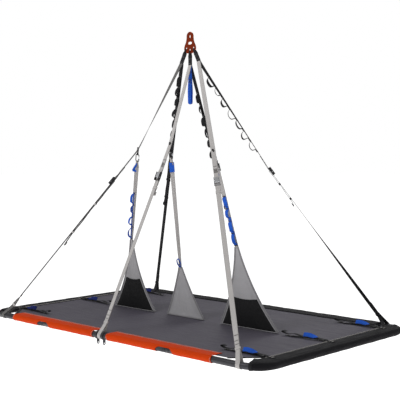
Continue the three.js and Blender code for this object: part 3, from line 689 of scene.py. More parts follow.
def lower_strap(s):
    """Round the tube, up to the buckle, through it, and a free tail that lies back down the strap."""
    loop, out, join = foot_loop(s)
    tail = s.tail
    outer = join + out * 0.0011
    inner = join - out * 0.0011
    sewn_to, sewn_from = 0.085, 0.02
    sewn = [inner + s.up * sewn_to - out * 0.0010, inner + s.up * sewn_from]
    climb = rounded([outer, s.centre - s.up * 0.06, s.centre + s.up * 0.012], 0.03, 0.02)
    path = sewn + list(reversed(loop)) + climb
    run = lengths(climb)
    across = [X_AXIS * s.side.x] * (len(sewn) + len(loop))
    across += [s.turned(d) for d in run]
    across[0], across[1] = s.turned(sewn_to), s.turned(sewn_from)
    piece = Piece()
    piece.tape(path, across)
    obj = piece.make("lower_webbing_" + s.name, s.colour, material=s.material)
    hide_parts("lower_strap_" + s.name)
    ends = Piece()
    centre, up, face = s.centre, s.up, s.face
    curl = [(0.011, -0.0004), (0.0145, -0.0022), (0.0148, -0.0050), (0.011, -0.0068)]
    curl += [(0.0, -0.0072), (-0.02, -0.0066)]
    tail_path = [centre + up * a + face * b for a, b in curl]
    waves = 10
    for k in range(1, waves + 1):
        t = k / waves
        lift = 0.0036 + 0.0030 * abs(math.sin(2.4 * math.pi * t)) + 0.006 * t ** 6
        tail_path.append(centre - up * (0.02 + (tail - 0.02) * t) - face * lift)
    tail_path = smooth(tail_path, 4)
    ends.tape(tail_path, s.across, WEB_WIDTH - 0.0012)
    tip = tail_path[-1]
    ends.block(tip + up * 0.010 - face * 0.0012, s.axes, (0.0245, 0.020, 0.0040), 0.0008)
    ends.make("tail_" + s.name, s.colour, material=s.material)
    bands = Piece()
    tacks = Piece()
    for share in (0.35, 0.8) if tail > 0.2 else (0.6,):
        keeper(bands, centre - up * tail * share, s.across, up, face)
    foot_up = 0.03
    for extra in (0.0, 0.018, 0.045):
        spot = join + up * (foot_up + extra) - out * 0.0006
        width = s.turned(foot_up + extra).normalized()
        tacks.block(spot, (width, up, width.cross(up)), (0.021, 0.004, 0.0066), 0.0006)
    keeper(bands, join + up * 0.010, s.level, up, s.level.cross(up), 0.0036, -0.0040)
    bands.make("keepers_" + s.name, s.colour)
    tacks.make("foot_stitching_" + s.name, s.colour, material=s.stitch)


def keeper(piece, centre, across, up, face, high=0.0019, low=-0.0088):
    """An elastic band round the strap and what lies beside it."""
    half, reach, thick = WEB_WIDTH / 2 + 0.0016, 0.006, 0.0009
    corners = [(half, high), (-half, high), (-half, low), (half, low)]
    loop = []
    for i, (x, z) in enumerate(corners):
        nx, nz = corners[(i + 1) % 4]
        loop += [centre + across * (x + (nx - x) * t) + face * (z + (nz - z) * t) for t in (0.1, 0.5, 0.9)]
    n = len(loop)
    rows, weave = [], []
    for i, p in enumerate(loop):
        ahead = (loop[(i + 1) % n] - loop[i - 1]).normalized()
        out = ahead.cross(up)
        profile = ((-reach, 0), (reach, 0), (reach, thick), (-reach, thick))
        rows.append([p + up * a + out * b for a, b in profile])
        weave.append([(i * 0.005, a, a / reach) for a, _ in profile])
    piece.lattice(rows, weave, closed=True)


def smooth(points, count):
    """A smooth curve through points, with count steps between each two."""
    points = [Vector(p) for p in points]
    out = []
    for i in range(len(points) - 1):
        p0, p1 = points[max(i - 1, 0)], points[i]
        p2, p3 = points[i + 1], points[min(i + 2, len(points) - 1)]
        for k in range(count):
            t = k / count
            out.append(0.5 * (2 * p1 + (p2 - p0) * t + (2 * p0 - 5 * p1 + 4 * p2 - p3) * t * t
                              + (3 * p1 - p0 - 3 * p2 + p3) * t ** 3))
    out.append(points[-1])
    return out


def daisy_chain(name, start, axes, first, pitch, count, bulge, slot, width, swivel, base=0.0022):
    """A tape sewn on to a strap at tacks, standing off as loops of uneven size and turn between them."""
    points, aims, tacks = [], [], Piece()
    across, up, face = axes
    tack_size = (width * 0.85, 0.006, 0.0042)

    def tack(along):
        tacks.block(start - up * along + face * (base - 0.0008), axes, tack_size)

    def put(along, off, turn=0.0):
        spin = Matrix.Rotation(turn, 3, up)
        points.append(start - up * along + face * base + spin @ face * (off - base))
        aims.append(spin @ across)

    for i in range(count):
        top = first + i * pitch
        chord = pitch * (0.72 + 0.10 * math.sin(1.7 * i + len(name)))
        size = bulge * (1 + 0.28 * math.sin(2.3 * i + len(name)))
        turn = swivel * math.sin(2.9 * i + 1.1)
        put(top - 0.008, base)
        for k in range(13):
            t = k / 12
            swing = math.sin(math.pi * t)
            along = top + chord * (t - 0.10 * math.sin(2 * math.pi * t)) + 0.25 * size * swing ** 2
            put(along, base + size * swing ** 0.85, turn * swing)
        tack(top - 0.006)
    end = first + count * pitch - 0.006
    put(end, base)
    tack(end)
    piece = Piece()
    piece.tape(points, aims, width, 0.0020)
    piece.make(name, slot)
    tacks.make(name + "_tacks", slot, material=STITCH_BLACK)


# ---------------------------------------------------------------- plate, headers and sling
def arc(cx, cy, rx, ry, start, stop, count):
    turn = [math.radians(a) for a in between(start, stop, count)]
    return [(cx + rx * math.cos(a), cy + ry * math.sin(a)) for a in turn]


def bezier(points, count):
    out = []
    for k in range(1, count + 1):
        t = k / count
        level = [Vector(p) for p in points]
        while len(level) > 1:
            level = [a.lerp(b, t) for a, b in zip(level, level[1:])]
        out.append(tuple(level[0]))
    return out


def oval(cx, cy, rx, ry, count=40):
    return list(reversed(arc(cx, cy, rx, ry, 0, 360, count)[:-1]))


def rigging_plate():
    low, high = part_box("rigging_plate")
    half_top, half_low = 0.024, (high.x - low.x) / 2
    top, bottom = high.z, low.z
    shoulder = top - half_top
    outline = arc(0, shoulder, half_top, half_top, 0, 180, 32)
    neck, hip = -0.040, (-half_low, bottom + 0.026)
    left = bezier([(-half_top, shoulder), (-half_top, neck), (-half_low, neck), hip], 16)
    left += bezier([hip, (-half_low, bottom + 0.008), (-0.014, bottom)], 12)
    outline += left + [(-x, y) for x, y in reversed(left)]
    hole = 0.0065
    holes = [oval(0, 0, hole, 0.009), oval(0, -0.036, 0.017, 0.008)]
    holes += [oval((x - PLATE_X) / 1000, (z - EYE_Z) / 1000, hole, hole) for x, z in HEADER_HOLES.values()]
    upright = Matrix((X_AXIS, WORLD_UP, X_AXIS.cross(WORLD_UP))).transposed()
    piece = Piece()
    piece.plate(outline, holes, high.y - low.y, 0.0011, upright)
    obj = piece.make("anodised_rigging_plate", "red_aluminium", sharp=35)
    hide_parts("rigging_plate")


def header(side):
    """Doubled webbing: folded narrow through the plate's hole, full width below, and bar-tacked."""
    hx, hz = HEADER_HOLES[side]
    ex, ez = HEADER_ENDS[side]
    hole, end = at(hx, 0, hz), at(ex, 0, ez)
    up = (hole - end).normalized()
    length = (hole - end).length
    across = square_to(X_AXIS, up)
    front = Vector((0, -1, 0))
    near = [(-length - 0.0005, 0.0017), (-length + 0.018, 0.0017), (-0.045, 0.0018), (-0.030, 0.0040)]
    near += [(-0.018, 0.0056), (-0.010, 0.0056), (-0.0065, 0.0053), (-0.0040, 0.0035), (-0.0030, 0.0)]
    path = near + [(a, -b) for a, b in reversed(near[:-1])]
    points = smooth([hole + up * a + front * b for a, b in path], 4)
    widths = []
    for p in points:
        drop = -(p - hole).dot(up)
        widths.append(0.0095 + 0.0155 * smooth_step((drop - 0.010) / 0.030))
    piece = Piece()
    piece.tape(points, across, widths, 0.0024)
    obj = piece.make("header_webbing_" + side, "black_webbing")
    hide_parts("header_" + side)
    tacks = Piece()
    for drop in (0.046, 0.052, length - 0.012, length - 0.005):
        tacks.block(hole - up * drop, (across, up, front), (0.0215, 0.0034, 0.0066), 0.0006)
    middle = hole - up * (length / 2 + 0.022)
    for sign in (-1, 1):
        size = (0.0013, length - 0.072, 0.0062)
        tacks.block(middle + across * 0.0095 * sign, (across, up, front), size, 0.0004)
    tacks.make("header_stitching_" + side, "black_webbing", material=STITCH_BLACK)


def sling():
    low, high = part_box("grab_sling")
    x, top, bottom = (low.x + high.x) / 2, high.z, low.z
    thick = 0.0014
    bow = high.y - thick / 2
    sewn, part, taper = 0.044, 0.45, 0.017
    half = [(thick / 2, top), (thick / 2, top - sewn), (bow * part, top - 0.090), (bow, top - 0.150)]
    near = [Vector((x, -y, z)) for y, z in half]
    far = [Vector((x, y, z)) for y, z in reversed(half)]
    end = Vector((x, 0, bottom + bow + thick / 2))
    points = near[:1] + smooth(near[1:], 5)[:-1]
    points += bend(end, Vector((0, -1, 0)), -WORLD_UP, bow, 0, 180, 14)
    points += smooth(far[:-1], 5)[1:] + far[-1:]
    full = high.x - low.x
    widths = [full * (0.80 + 0.20 * smooth_step((top - p.z) / 0.12)) for p in points]
    drops = [min(1.0, max(0.0, (bottom + taper - p.z) / taper)) for p in points]
    widths = [w * math.sqrt(max(0.16, 1 - d * d)) for w, d in zip(widths, drops)]
    piece = Piece()
    piece.tape(points, X_AXIS, widths, thick)
    obj = piece.make("sling_webbing", "blue_webbing", "sling")
    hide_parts("grab_sling")
    tacks = Piece()
    axes = (X_AXIS, WORLD_UP, Vector((0, -1, 0)))
    for drop in (0.006, 0.016, 0.040):
        tacks.block((x, 0, top - drop), axes, (full * 0.7, 0.004, 0.0036), 0.0005)
    for drop in (0.075, 0.084, 0.093, 0.102):
        spread = 2 * bow * part * smooth_step((drop - sewn) / 0.046) + 2 * thick
        tacks.block((x, 0, top - drop), axes, (full * 0.62, 0.0036, min(0.0085, spread + 0.0016)), 0.0005)
    tacks.make("sling_stitching", "blue_webbing", "sling", STITCH_BLACK)


# ---------------------------------------------------------------- bed frame
def corner_route(sx, sy):
    """The tube's centre line round one corner of the frame, from its long side to its short side."""
    centre = at(sx * (FRAME_X - CORNER), sy * (FRAME_Y - CORNER))
    return bend(centre, Vector((0, sy, 0)), X_AXIS * sx, CORNER / 1000, 0, 90, 24)


def headings(points):
    """The direction in which a route runs at each of its points."""
    ahead = points[1:] + points[-1:]
    behind = points[:1] + points[:-1]
    return [(a - b).normalized() for a, b in zip(ahead, behind)]


def pipe(piece, route, radius, inner, sides=36):
    """A hollow tube along a route, with eased ends."""
    ease = 0.0006
    first = (route[1] - route[0]).normalized()
    last = (route[-1] - route[-2]).normalized()
    outer = [route[0], route[0] + first * ease, *route[1:-1], route[-1] - last * ease, route[-1]]
    radii = [radius - ease, radius] + [radius] * (len(route) - 2) + [radius, radius - ease]
    path = outer + list(reversed(route))
    radii += [inner] * len(route)
    rows, weave = [], []
    dirs = headings(outer) + list(reversed(headings(route)))
    along = 0.0
    for i, (p, ahead, r) in enumerate(zip(path, dirs, radii)):
        side = square_to(WORLD_UP, ahead)
        other = ahead.cross(side)
        along += (p - path[i - 1]).length if i else 0
        turn = [2 * math.pi * k / sides for k in range(sides)]
        rows.append([p + (side * math.cos(a) + other * math.sin(a)) * r for a in turn])
        weave.append([(along, a * r, 0) for a in turn])
    piece.lattice(rows, weave, closed=True)


def bed_frame():
    radius, inner = TUBE_RADIUS / 1000, (TUBE_RADIUS - TUBE_WALL) / 1000
    gap = 0.2
    for sx, x_name in ((-1, "left"), (1, "right")):
        joint = JOINTS[0] if sx < 0 else JOINTS[1]
        for sy, y_name in ((-1, "near"), (1, "far")):
            route = [at(joint + sx * gap, sy * FRAME_Y), *corner_route(sx, sy), at(sx * FRAME_X, sy * gap)]
            piece = Piece()
            pipe(piece, route, radius, inner)
            name = f"{y_name}_{x_name}"
            obj = piece.make("frame_tube_" + name, "dark_tube")
            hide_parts("corner_tube_" + name)
            rings = Piece()
            for d in (6, 30):
                ring = [(-0.0016, 0.0155), (-0.0010, 0.0166), (0.0010, 0.0166), (0.0016, 0.0155)]
                rings.turned(at(joint + sx * d, sy * FRAME_Y), X_AXIS, ring)
            spot = at(joint - sx * 22, sy * FRAME_Y, 0)
            out = Vector((0, sy * 0.94, 0.34)).normalized()
            rings.rod([spot + out * 0.012, spot + out * 0.0165], 0.0030, 16)
            rings.make("joint_fittings_" + name, "dark_tube")
    for sy, name in ((-1, "near"), (1, "far")):
        piece = Piece()
        ends = [at(JOINTS[0] + gap, sy * FRAME_Y), at(JOINTS[1] - gap, sy * FRAME_Y)]
        pipe(piece, rounded(ends, 0.01, 0.06), radius, inner)
        obj = piece.make("frame_tube_middle_" + name, "dark_tube")
        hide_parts("side_tube_" + name)


def spreader():
    """The cross tube and its two-clamp yokes, with an eye lug under each clamp."""
    half = FRAME_Y - 37
    piece = Piece()
    route = rounded([at(SPREADER_X, -half), at(SPREADER_X, half)], 0.01, 0.08)
    pipe(piece, route, 0.013, 0.0112)
    for sy in (-1, 1):
        y = sy * FRAME_Y
        inward = Vector((0, -sy, 0))
        head = at(SPREADER_X, y) + inward * 0.040
        piece.block(head, (X_AXIS, inward, WORLD_UP), (0.063, 0.012, 0.018), 0.0024, 3)
        socket = [(-0.008, 0.0128), (-0.007, 0.0152), (0.012, 0.0152), (0.014, 0.0128)]
        piece.turned(head + inward * 0.013, inward, socket)
        for side in (-1, 1):
            centre = at(SPREADER_X + side * CLAMP_OFFSET, y)
            ring = [(-0.0075, 0.0166), (-0.0075, 0.0195), (-0.0065, 0.0205)]
            ring += [(-a, b) for a, b in reversed(ring)]
            piece.turned(centre, X_AXIS, ring)
            piece.block(centre + inward * 0.0275, (X_AXIS, inward, WORLD_UP), (0.015, 0.018, 0.018), 0.002, 3)
            lug = arc(0, -0.020, 0.008, 0.008, 180, 360, 16) + [(0.008, 0), (-0.008, 0)]
            stand = Matrix((Vector((0, 1, 0)), WORLD_UP, X_AXIS)).transposed().to_4x4()
            stand.translation = centre + WORLD_UP * -0.0185
            piece.plate(lug, [oval(0, -0.020, 0.0045, 0.0045, 24)], 0.005, 0.0007, stand)
    obj = piece.make("spreader_assembly", "dark_tube", sharp=40)
    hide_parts("spreader_bar")
    bolts = Piece()
    washer = [(0, 0.001), (0, 0.0068), (0.001, 0.0064), (0.001, 0.001)]
    for sy in (-1, 1):
        for side in (-1, 1):
            spot = at(SPREADER_X + side * CLAMP_OFFSET, sy * (FRAME_Y - 28.5))
            bolts.rod([spot + WORLD_UP * 0.0085, spot + WORLD_UP * 0.0125], 0.0050, 6)
            bolts.turned(spot + WORLD_UP * 0.0093, WORLD_UP, washer, 24)
    bolts.make("yoke_bolts", "steel", sharp=30)


# ---------------------------------------------------------------- bed and sleeves
END_FLAP = 76
BED_X, BED_Y, BED_Z = 984, 584, 15.5
CUT_X, CUT_Y, SCALLOP = 160, 150, 6


def bed_height(x, y):
    """The height of the cloth's middle surface: drawn over the bar, lower beside it, creased at its ends."""
    sag = 4.5 * smooth_step(abs(x - SPREADER_X) / 330) * smooth_step((BED_X - abs(x)) / 420)
    sag *= smooth_step((BED_Y - 20 - abs(y)) / 220)
    reach = BED_X - abs(x)
    crease = math.exp(-((reach / 260) ** 2)) * smooth_step((BED_Y - 60 - abs(y)) / 90)
    crease *= smooth_step((reach - 42) / 45)
    pull = sum(math.exp(-(((y - c) / 60) ** 2)) for c in TENSIONER_Y.values())
    folds = math.sin(y / 15.5 + 0.8 * math.sin(x / 130)) * 0.9 + math.sin(y / 7.7 + x / 210) * 0.5
    fans = math.sin((abs(y) - 230) * (1 + reach / 900) / 19) * 0.8
    side = math.exp(-(((BED_Y - 35 - abs(y)) / 45) ** 2)) * math.sin(x / 24 + 0.9 * math.sin(x / 71)) * 0.5
    return BED_Z - sag + crease * (folds * (0.8 + 0.5 * pull) + fans) - 1.2 * crease + side


def bed_panel():
    columns = []
    fine = np.linspace(560, BED_X, 70)
    for x in np.concatenate([-fine[::-1], np.linspace(-545, 545, 74), fine]):
        over = max(0.0, (abs(x) - (BED_X - CUT_X)) / CUT_X)
        half = BED_Y - CUT_Y * over - 10 * math.sin(math.pi * over)
        column = []
        for v in np.linspace(-1, 1, 141):
            y = v * half
            share = min(1.0, abs(y) / (BED_Y - CUT_Y))
            pull = SCALLOP * abs(math.sin(math.pi * share)) * smooth_step((abs(x) - BED_X + 100) / 100)
            px = math.copysign(abs(x) - pull, x)
            column.append((px, y, bed_height(px, y)))
        columns.append(column)
    rows = [[at(*p) for p in column] for column in columns]
    weave = [[(p[0] / 1000, p[1] / 1000, 0) for p in column] for column in columns]
    obj = cloth_piece("bed_cloth", "bed_fabric", rows, weave, CLOTH_THICK)
    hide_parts("bed_panel")
    edge = Piece()
    for sx in (-1, 1):
        ends = columns[0] if sx < 0 else columns[-1]
        line = [at(p[0], p[1], p[2] + 0.6) for p in ends]
        edge.tape(line, X_AXIS, 0.016, 0.0020)
        for sy in (-1, 1):
            rim = [c[-1 if sy > 0 else 0] for c in columns if c[0][0] * sx > BED_X - CUT_X - 10]
            line = [at(p[0], p[1], p[2] + 0.6) for p in rim]
            edge.tape(line, [Vector((sx, sy, 0))] * len(line), 0.016, 0.0026)
    edge.make("bed_edge_binding", "black_webbing")


def flap_profile(flap):
    """The flap's cross-section as (inward, up) from the tube's centre, from its edge to the tube, in mm."""
    return [(u, FLAP_Z) for u in between(flap, 8, 7)]


def arch(a, b, x):
    """Where round the tube a window starts, in degrees; over its middle it reaches up the tube's outside."""
    u = min(1.0, abs(2 * x - a - b) / (b - a))
    return WINDOW_TOP + WINDOW_DROP * (1 - math.sqrt(1 - u ** 4)) if u < 1 else 360


def long_sleeve(name, node, sy, from_x, to_x, slot, windows, notches, flap):
    """A sleeve round a long side tube: flap on the bed, over the tube, round it and sewn under the flap."""
    step = 9.0
    count = max(8, int((to_x - from_x) / step))
    top = flap_profile(flap)
    profile = top + arc(0, 0, SLEEVE_RADIUS, SLEEVE_RADIUS, WRAP_START, WRAP_START + WRAP_SWEEP, WRAP_STEPS)
    rows, weave = [], []
    marks = sorted(x for w in windows + notches for x in w)
    marks += [x for a, b in windows for x in np.linspace(a, b, 30)[1:-1]]
    xs = sorted(set(between(from_x, to_x, count) + marks))
    across_run = lengths([Vector(p) for p in profile])
    for x in xs:
        row, wrow = [], []
        for k, (inward, up) in enumerate(profile):
            push, lift = 1.0, 0.0
            if k < len(top):
                lift = 0.25 * math.sin(x / 21 + inward / 9) + 0.25
            else:
                a = math.atan2(up, inward)
                pucker = 0.35 * math.sin(x / 13 + 2 * math.sin(a)) + 0.5 * math.sin(x / 37 + 3 * a)
                pucker += 0.9 * max(0, math.sin(a - 0.4 + 0.5 * math.sin(x / 90)))
                push += max(-0.2, pucker) / SLEEVE_RADIUS
            row.append(at(x, sy * FRAME_Y - sy * inward * push, up * push + lift))
            wrow.append((x / 1000, across_run[k] / 1000, 0))
        rows.append(row)
        weave.append(wrow)
    piece = Piece()
    n, m = len(rows), len(profile)
    faces = []
    for i in range(n - 1):
        mid = (xs[i] + xs[i + 1]) / 2
        for k in range(m - 1):
            inward = (profile[k][0] + profile[k + 1][0]) / 2
            on_ring = k >= len(top) - 1
            angle = WRAP_START + WRAP_SWEEP / WRAP_STEPS * (k - len(top) + 0.5)
            if on_ring and any(arch(a, b, mid) < angle < WINDOW_STOP for a, b in windows):
                continue
            if any(a < mid < b for a, b in notches) and inward < 37:
                continue
            faces.append((i * m + k, i * m + k + 1, (i + 1) * m + k + 1, (i + 1) * m + k))
    piece.append([p for row in rows for p in row], faces, [w for row in weave for w in row])
    obj = piece.make(name, slot, sharp=180)
    # The points left over inside the windows go.
    bm = bmesh.new()
    bm.from_mesh(obj.data)
    bmesh.ops.delete(bm, geom=[v for v in bm.verts if not v.link_faces], context="VERTS")
    bm.to_mesh(obj.data)
    bm.free()
    solidify(obj, CLOTH_THICK)
    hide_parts(node)
    seams = Piece()
    for inward in (flap - 6, flap - 14):
        line = [at(x, sy * (FRAME_Y - inward), 19.3) for x in np.arange(from_x + 3, to_x - 3, 12)]
        seams.rod(line, 0.0006, 6)
    for x in (from_x + 5, to_x - 5):
        hoop = bend(at(x, sy * FRAME_Y), Vector((0, -sy, 0)), WORLD_UP, 0.0191, 80, 360, 24)
        seams.rod(hoop, 0.0006, 6)
    seams.make(name + "_seams", slot, material=STITCH_GREY if slot == "orange_fabric" else STITCH_BLACK)


def end_sleeve(sx, name, node):
    """A sleeve round a short side and both its corners, with its flap on the bed."""
    count = 60
    a, b = corner_route(sx, -1)[-1], corner_route(sx, 1)[-1]
    straight = [a.lerp(b, k / count) for k in range(1, count)]
    route = [*corner_route(sx, -1)[6:], *straight, *reversed(corner_route(sx, 1)[6:])]
    rows, weave = [], []
    along = 0.0
    for i, (p, ahead) in enumerate(zip(route, headings(route))):
        inward = WORLD_UP.cross(ahead) * sx
        along += (p - route[i - 1]).length if i else 0
        row, wrow = [], []
        for u, z in flap_profile(END_FLAP):
            lift = 0.25 + 0.25 * math.sin(along * 45 + u / 9)
            row.append(p + inward * u / 1000 + WORLD_UP * (z + lift) / 1000)
            wrow.append((along, -u / 1000, 0))
        for degrees in between(WRAP_START, WRAP_START + WRAP_SWEEP, WRAP_STEPS):
            a = math.radians(degrees)
            pucker = max(-0.2, 0.5 * math.sin(along * 60 + 2.5 * a) + 0.4 * math.sin(along * 24 + 4 * a))
            r = SLEEVE_RADIUS + pucker
            row.append(p + inward * r * math.cos(a) / 1000 + WORLD_UP * r * math.sin(a) / 1000)
            wrow.append((along, (SLEEVE_RADIUS * a - 30) / 1000, 0))
        rows.append(row)
        weave.append(wrow)
    obj = cloth_piece(name, "black_fabric", rows, weave, CLOTH_THICK)
    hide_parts(node)
    seams = Piece()
    for inward, radius in ((END_FLAP - 3, 0.0012), (END_FLAP - 11, 0.0006)):
        line = [at(sx * (FRAME_X - inward), y, 19.3) for y in range(-480, 481, 16)]
        seams.rod(line, radius, 6)
    seams.make(name + "_seams", "black_fabric", material=STITCH_GREY)
    collars = Piece()
    for end, other in ((0, 1), (-1, -2)):
        ahead = route[other] - route[end]
        collars.turned(route[end], ahead, [(0, 0.0172), (0, 0.0196), (0.014, 0.0196), (0.014, 0.0172)], 36)
    collars.make(name + "_hems", "black_webbing")


# ---------------------------------------------------------------- fins
def fin_side(fin, sign):
    """One concave side of a fin, from base to apex, as (x, z) in mm."""
    ax, az = fin["apex"]
    half = 10
    base = fin["base"][0] if sign < 0 else fin["base"][1]
    sag = -sign * (fin["sag"] - 7)
    top = ax + sign * half
    waist = ((base + top) / 2 + sag * 1.8, (FIN_FOOT + az) / 2 - fin["sag"] * 0.4)
    return [(base, FIN_FOOT)] + bezier([(base, FIN_FOOT), waist, (top, az)], 40)


def fin_panel(name):
    fin = FINS[name]
    left, right = fin_side(fin, -1), fin_side(fin, 1)
    rows, weave = [], []
    count = 28
    height = fin["apex"][1]

    def billow(z, t):
        level = min(1.0, z / height)
        swell = math.sin(math.pi * t) * (1 - level) * level * 4
        crease = math.sin(t * 17 + z / 95) * 2.2 * (1 - level) + math.sin(t * 31 - z / 60) * 1.0 * (1 - level)
        edge = smooth_step(t / 0.12) * smooth_step((1 - t) / 0.12)
        return 5.0 * swell * edge + crease * edge

    for (lx, lz), (rx, rz) in zip(left, right):
        row, wrow = [], []
        for k in range(count + 1):
            t = k / count
            x, z = lx + (rx - lx) * t, lz + (rz - lz) * t
            y = billow(z, t) * smooth_step((z - FIN_FOOT) / 25)
            row.append(at(x, y, z))
            wrow.append((x / 1000, z / 1000, 0))
        rows.append(row)
        weave.append(wrow)
    obj = cloth_piece("fin_cloth_" + name, "grey_ripstop", rows, weave, FIN_THICK)
    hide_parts("fin_" + name)
    trim = Piece()
    for side in (left, right):
        line = [at(x, 0, z) for x, z in side]
        trim.tape(line, [square_to(X_AXIS, ahead) for ahead in headings(line)], 0.011, 0.0032)
    low = [at(x, 0, 18.6) for x in np.linspace(fin["base"][0] + 4, fin["base"][1] - 4, 24)]
    trim.tape(low, Vector((0, 1, 0)), 0.022, 0.0014)
    trim.make("fin_edge_tape_" + name, "grey_webbing", material=GREY_BINDING)
    if fin["pocket"]:
        fin_pocket(name, fin, left, right)


def fin_pocket(name, fin, left, right):
    """The stowage pocket sewn on a fin's near face: full at the foot, gathered at its elastic top."""
    rows, weave = [], []
    count = 32
    steps = 20
    top = fin["pocket"]

    def edge_x(side, z):
        for (x0, z0), (x1, z1) in zip(side, side[1:]):
            if z0 <= z <= z1:
                return x0 + (x1 - x0) * (z - z0) / max(1e-6, z1 - z0)
        return side[-1][0]

    for i in range(steps + 1):
        level = i / steps
        row, wrow = [], []
        for k in range(count + 1):
            t = k / count
            dip = 9 * math.sin(math.pi * t) * level
            z = POCKET_FOOT + (top - POCKET_FOOT) * level - dip * level
            x = edge_x(left, z) * (1 - t) + edge_x(right, z) * t
            x += (0.5 - t) * 26
            swell = math.sin(math.pi * t) ** 0.6
            full = 9.5 * swell * (math.sin(math.pi * min(1, level * 0.9 + 0.1)) * 0.75 + 0.25)
            gather = 1.3 * math.sin(t * 60) * level ** 2 + 1.2 * math.sin(t * 19 + level * 3) * (1 - level)
            y = -1.6 - max(0.5, full + swell * gather)
            row.append(at(x, y, z))
            wrow.append((x / 1000, z / 1000, 0))
        rows.append(row)
        weave.append(wrow)
    obj = cloth_piece("fin_pocket_" + name, "black_fabric", rows, weave, FIN_THICK, POCKET_CLOTH)
    hem = Piece()
    hem.tape([p + WORLD_UP * -0.004 for p in rows[-1]], WORLD_UP, 0.013, 0.0026)
    hem.make("fin_pocket_hem_" + name, "black_webbing")


def clip_shape(half_x, half_y, corner):
    """A round-cornered rectangle, anticlockwise from its upper right corner."""
    points = []
    for quarter, (sx, sy) in enumerate(((1, 1), (-1, 1), (-1, -1), (1, -1))):
        x, y, start = sx * (half_x - corner), sy * (half_y - corner), 90 * quarter
        points += arc(x, y, corner, corner, start, start + 90, 8)
    return points


EYE_DROP, EYE_LOOP = 0.0207, 0.0040


class FinLine:
    """Where a fin hangs: its clip below the strap's kink and its webbing down to the apex."""

    def __init__(self, name):
        fin = FINS[name]
        self.kink = LINES["near_" + name].kink
        self.apex = at(fin["apex"][0], 0, fin["apex"][1])
        self.up = (self.kink - self.apex).normalized()
        self.across = square_to(X_AXIS, self.up)
        self.face = self.across.cross(self.up)
        self.axes = (self.across, self.up, self.face)
        self.eye = self.kink - self.up * fin["tab"] / 1000
        self.clip = self.eye - self.up * EYE_DROP
        self.low_eye = self.clip - self.up * EYE_DROP


def fin_clip(name):
    """A small wire-gate clip in the strap's sewn loop, with the fin's webbing in its lower end."""
    line = FinLine(name)
    wire, half_x, half_y, corner = 0.0023, 0.014, 0.023, 0.008

    def place(x, y, z=0.0):
        return line.clip + line.across * x + line.up * y + line.face * z

    outline = clip_shape(half_x - wire, half_y - wire, corner - wire)
    spine = half_x - wire
    ring = [(spine, 0.0115)] + outline + [(spine, -0.0095)]
    hook = Piece()
    hook.rod([place(x, y) for x, y in ring], wire, 16)
    boss = [(-0.0030, 0.0003), (-0.0030, 0.0026), (0.0030, 0.0026), (0.0030, 0.0003)]
    hook.turned(place(spine, -0.0068), line.face, boss, 20)
    obj = hook.make("snap_hook_" + name, "black_metal")
    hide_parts("clip_" + name)
    gate = Piece()
    gate.rod([place(spine, -0.0062), place(spine, 0.0106)], 0.0018, 14)
    knuckle = [(-0.0018, 0.0002), (-0.0018, 0.0021), (0.0018, 0.0021), (0.0018, 0.0002)]
    gate.turned(place(spine, -0.0062), line.face, knuckle, 20)
    obj = gate.make("snap_gate_" + name, "steel", "gate_" + name)
    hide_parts("clip_gate_" + name)
    tab = Piece()
    loop = [line.kink + line.face * 0.0016 + line.up * 0.016, line.kink + line.face * 0.0015]
    loop += bend(line.eye, line.up, line.face, EYE_LOOP, 28.8, 331.2, 14)
    loop += [line.kink - line.face * 0.0015, line.kink - line.face * 0.0016 + line.up * 0.016]
    tab.tape(loop, line.across, 0.010, 0.0014)
    tab.make("clip_loop_" + name, "black_webbing")
    tack = Piece()
    tack.block(line.kink - line.up * 0.010, line.axes, (0.009, 0.008, 0.0056), 0.0006)
    tack.make("clip_loop_stitching_" + name, "grey_webbing", material=STITCH_GREY)
    return line


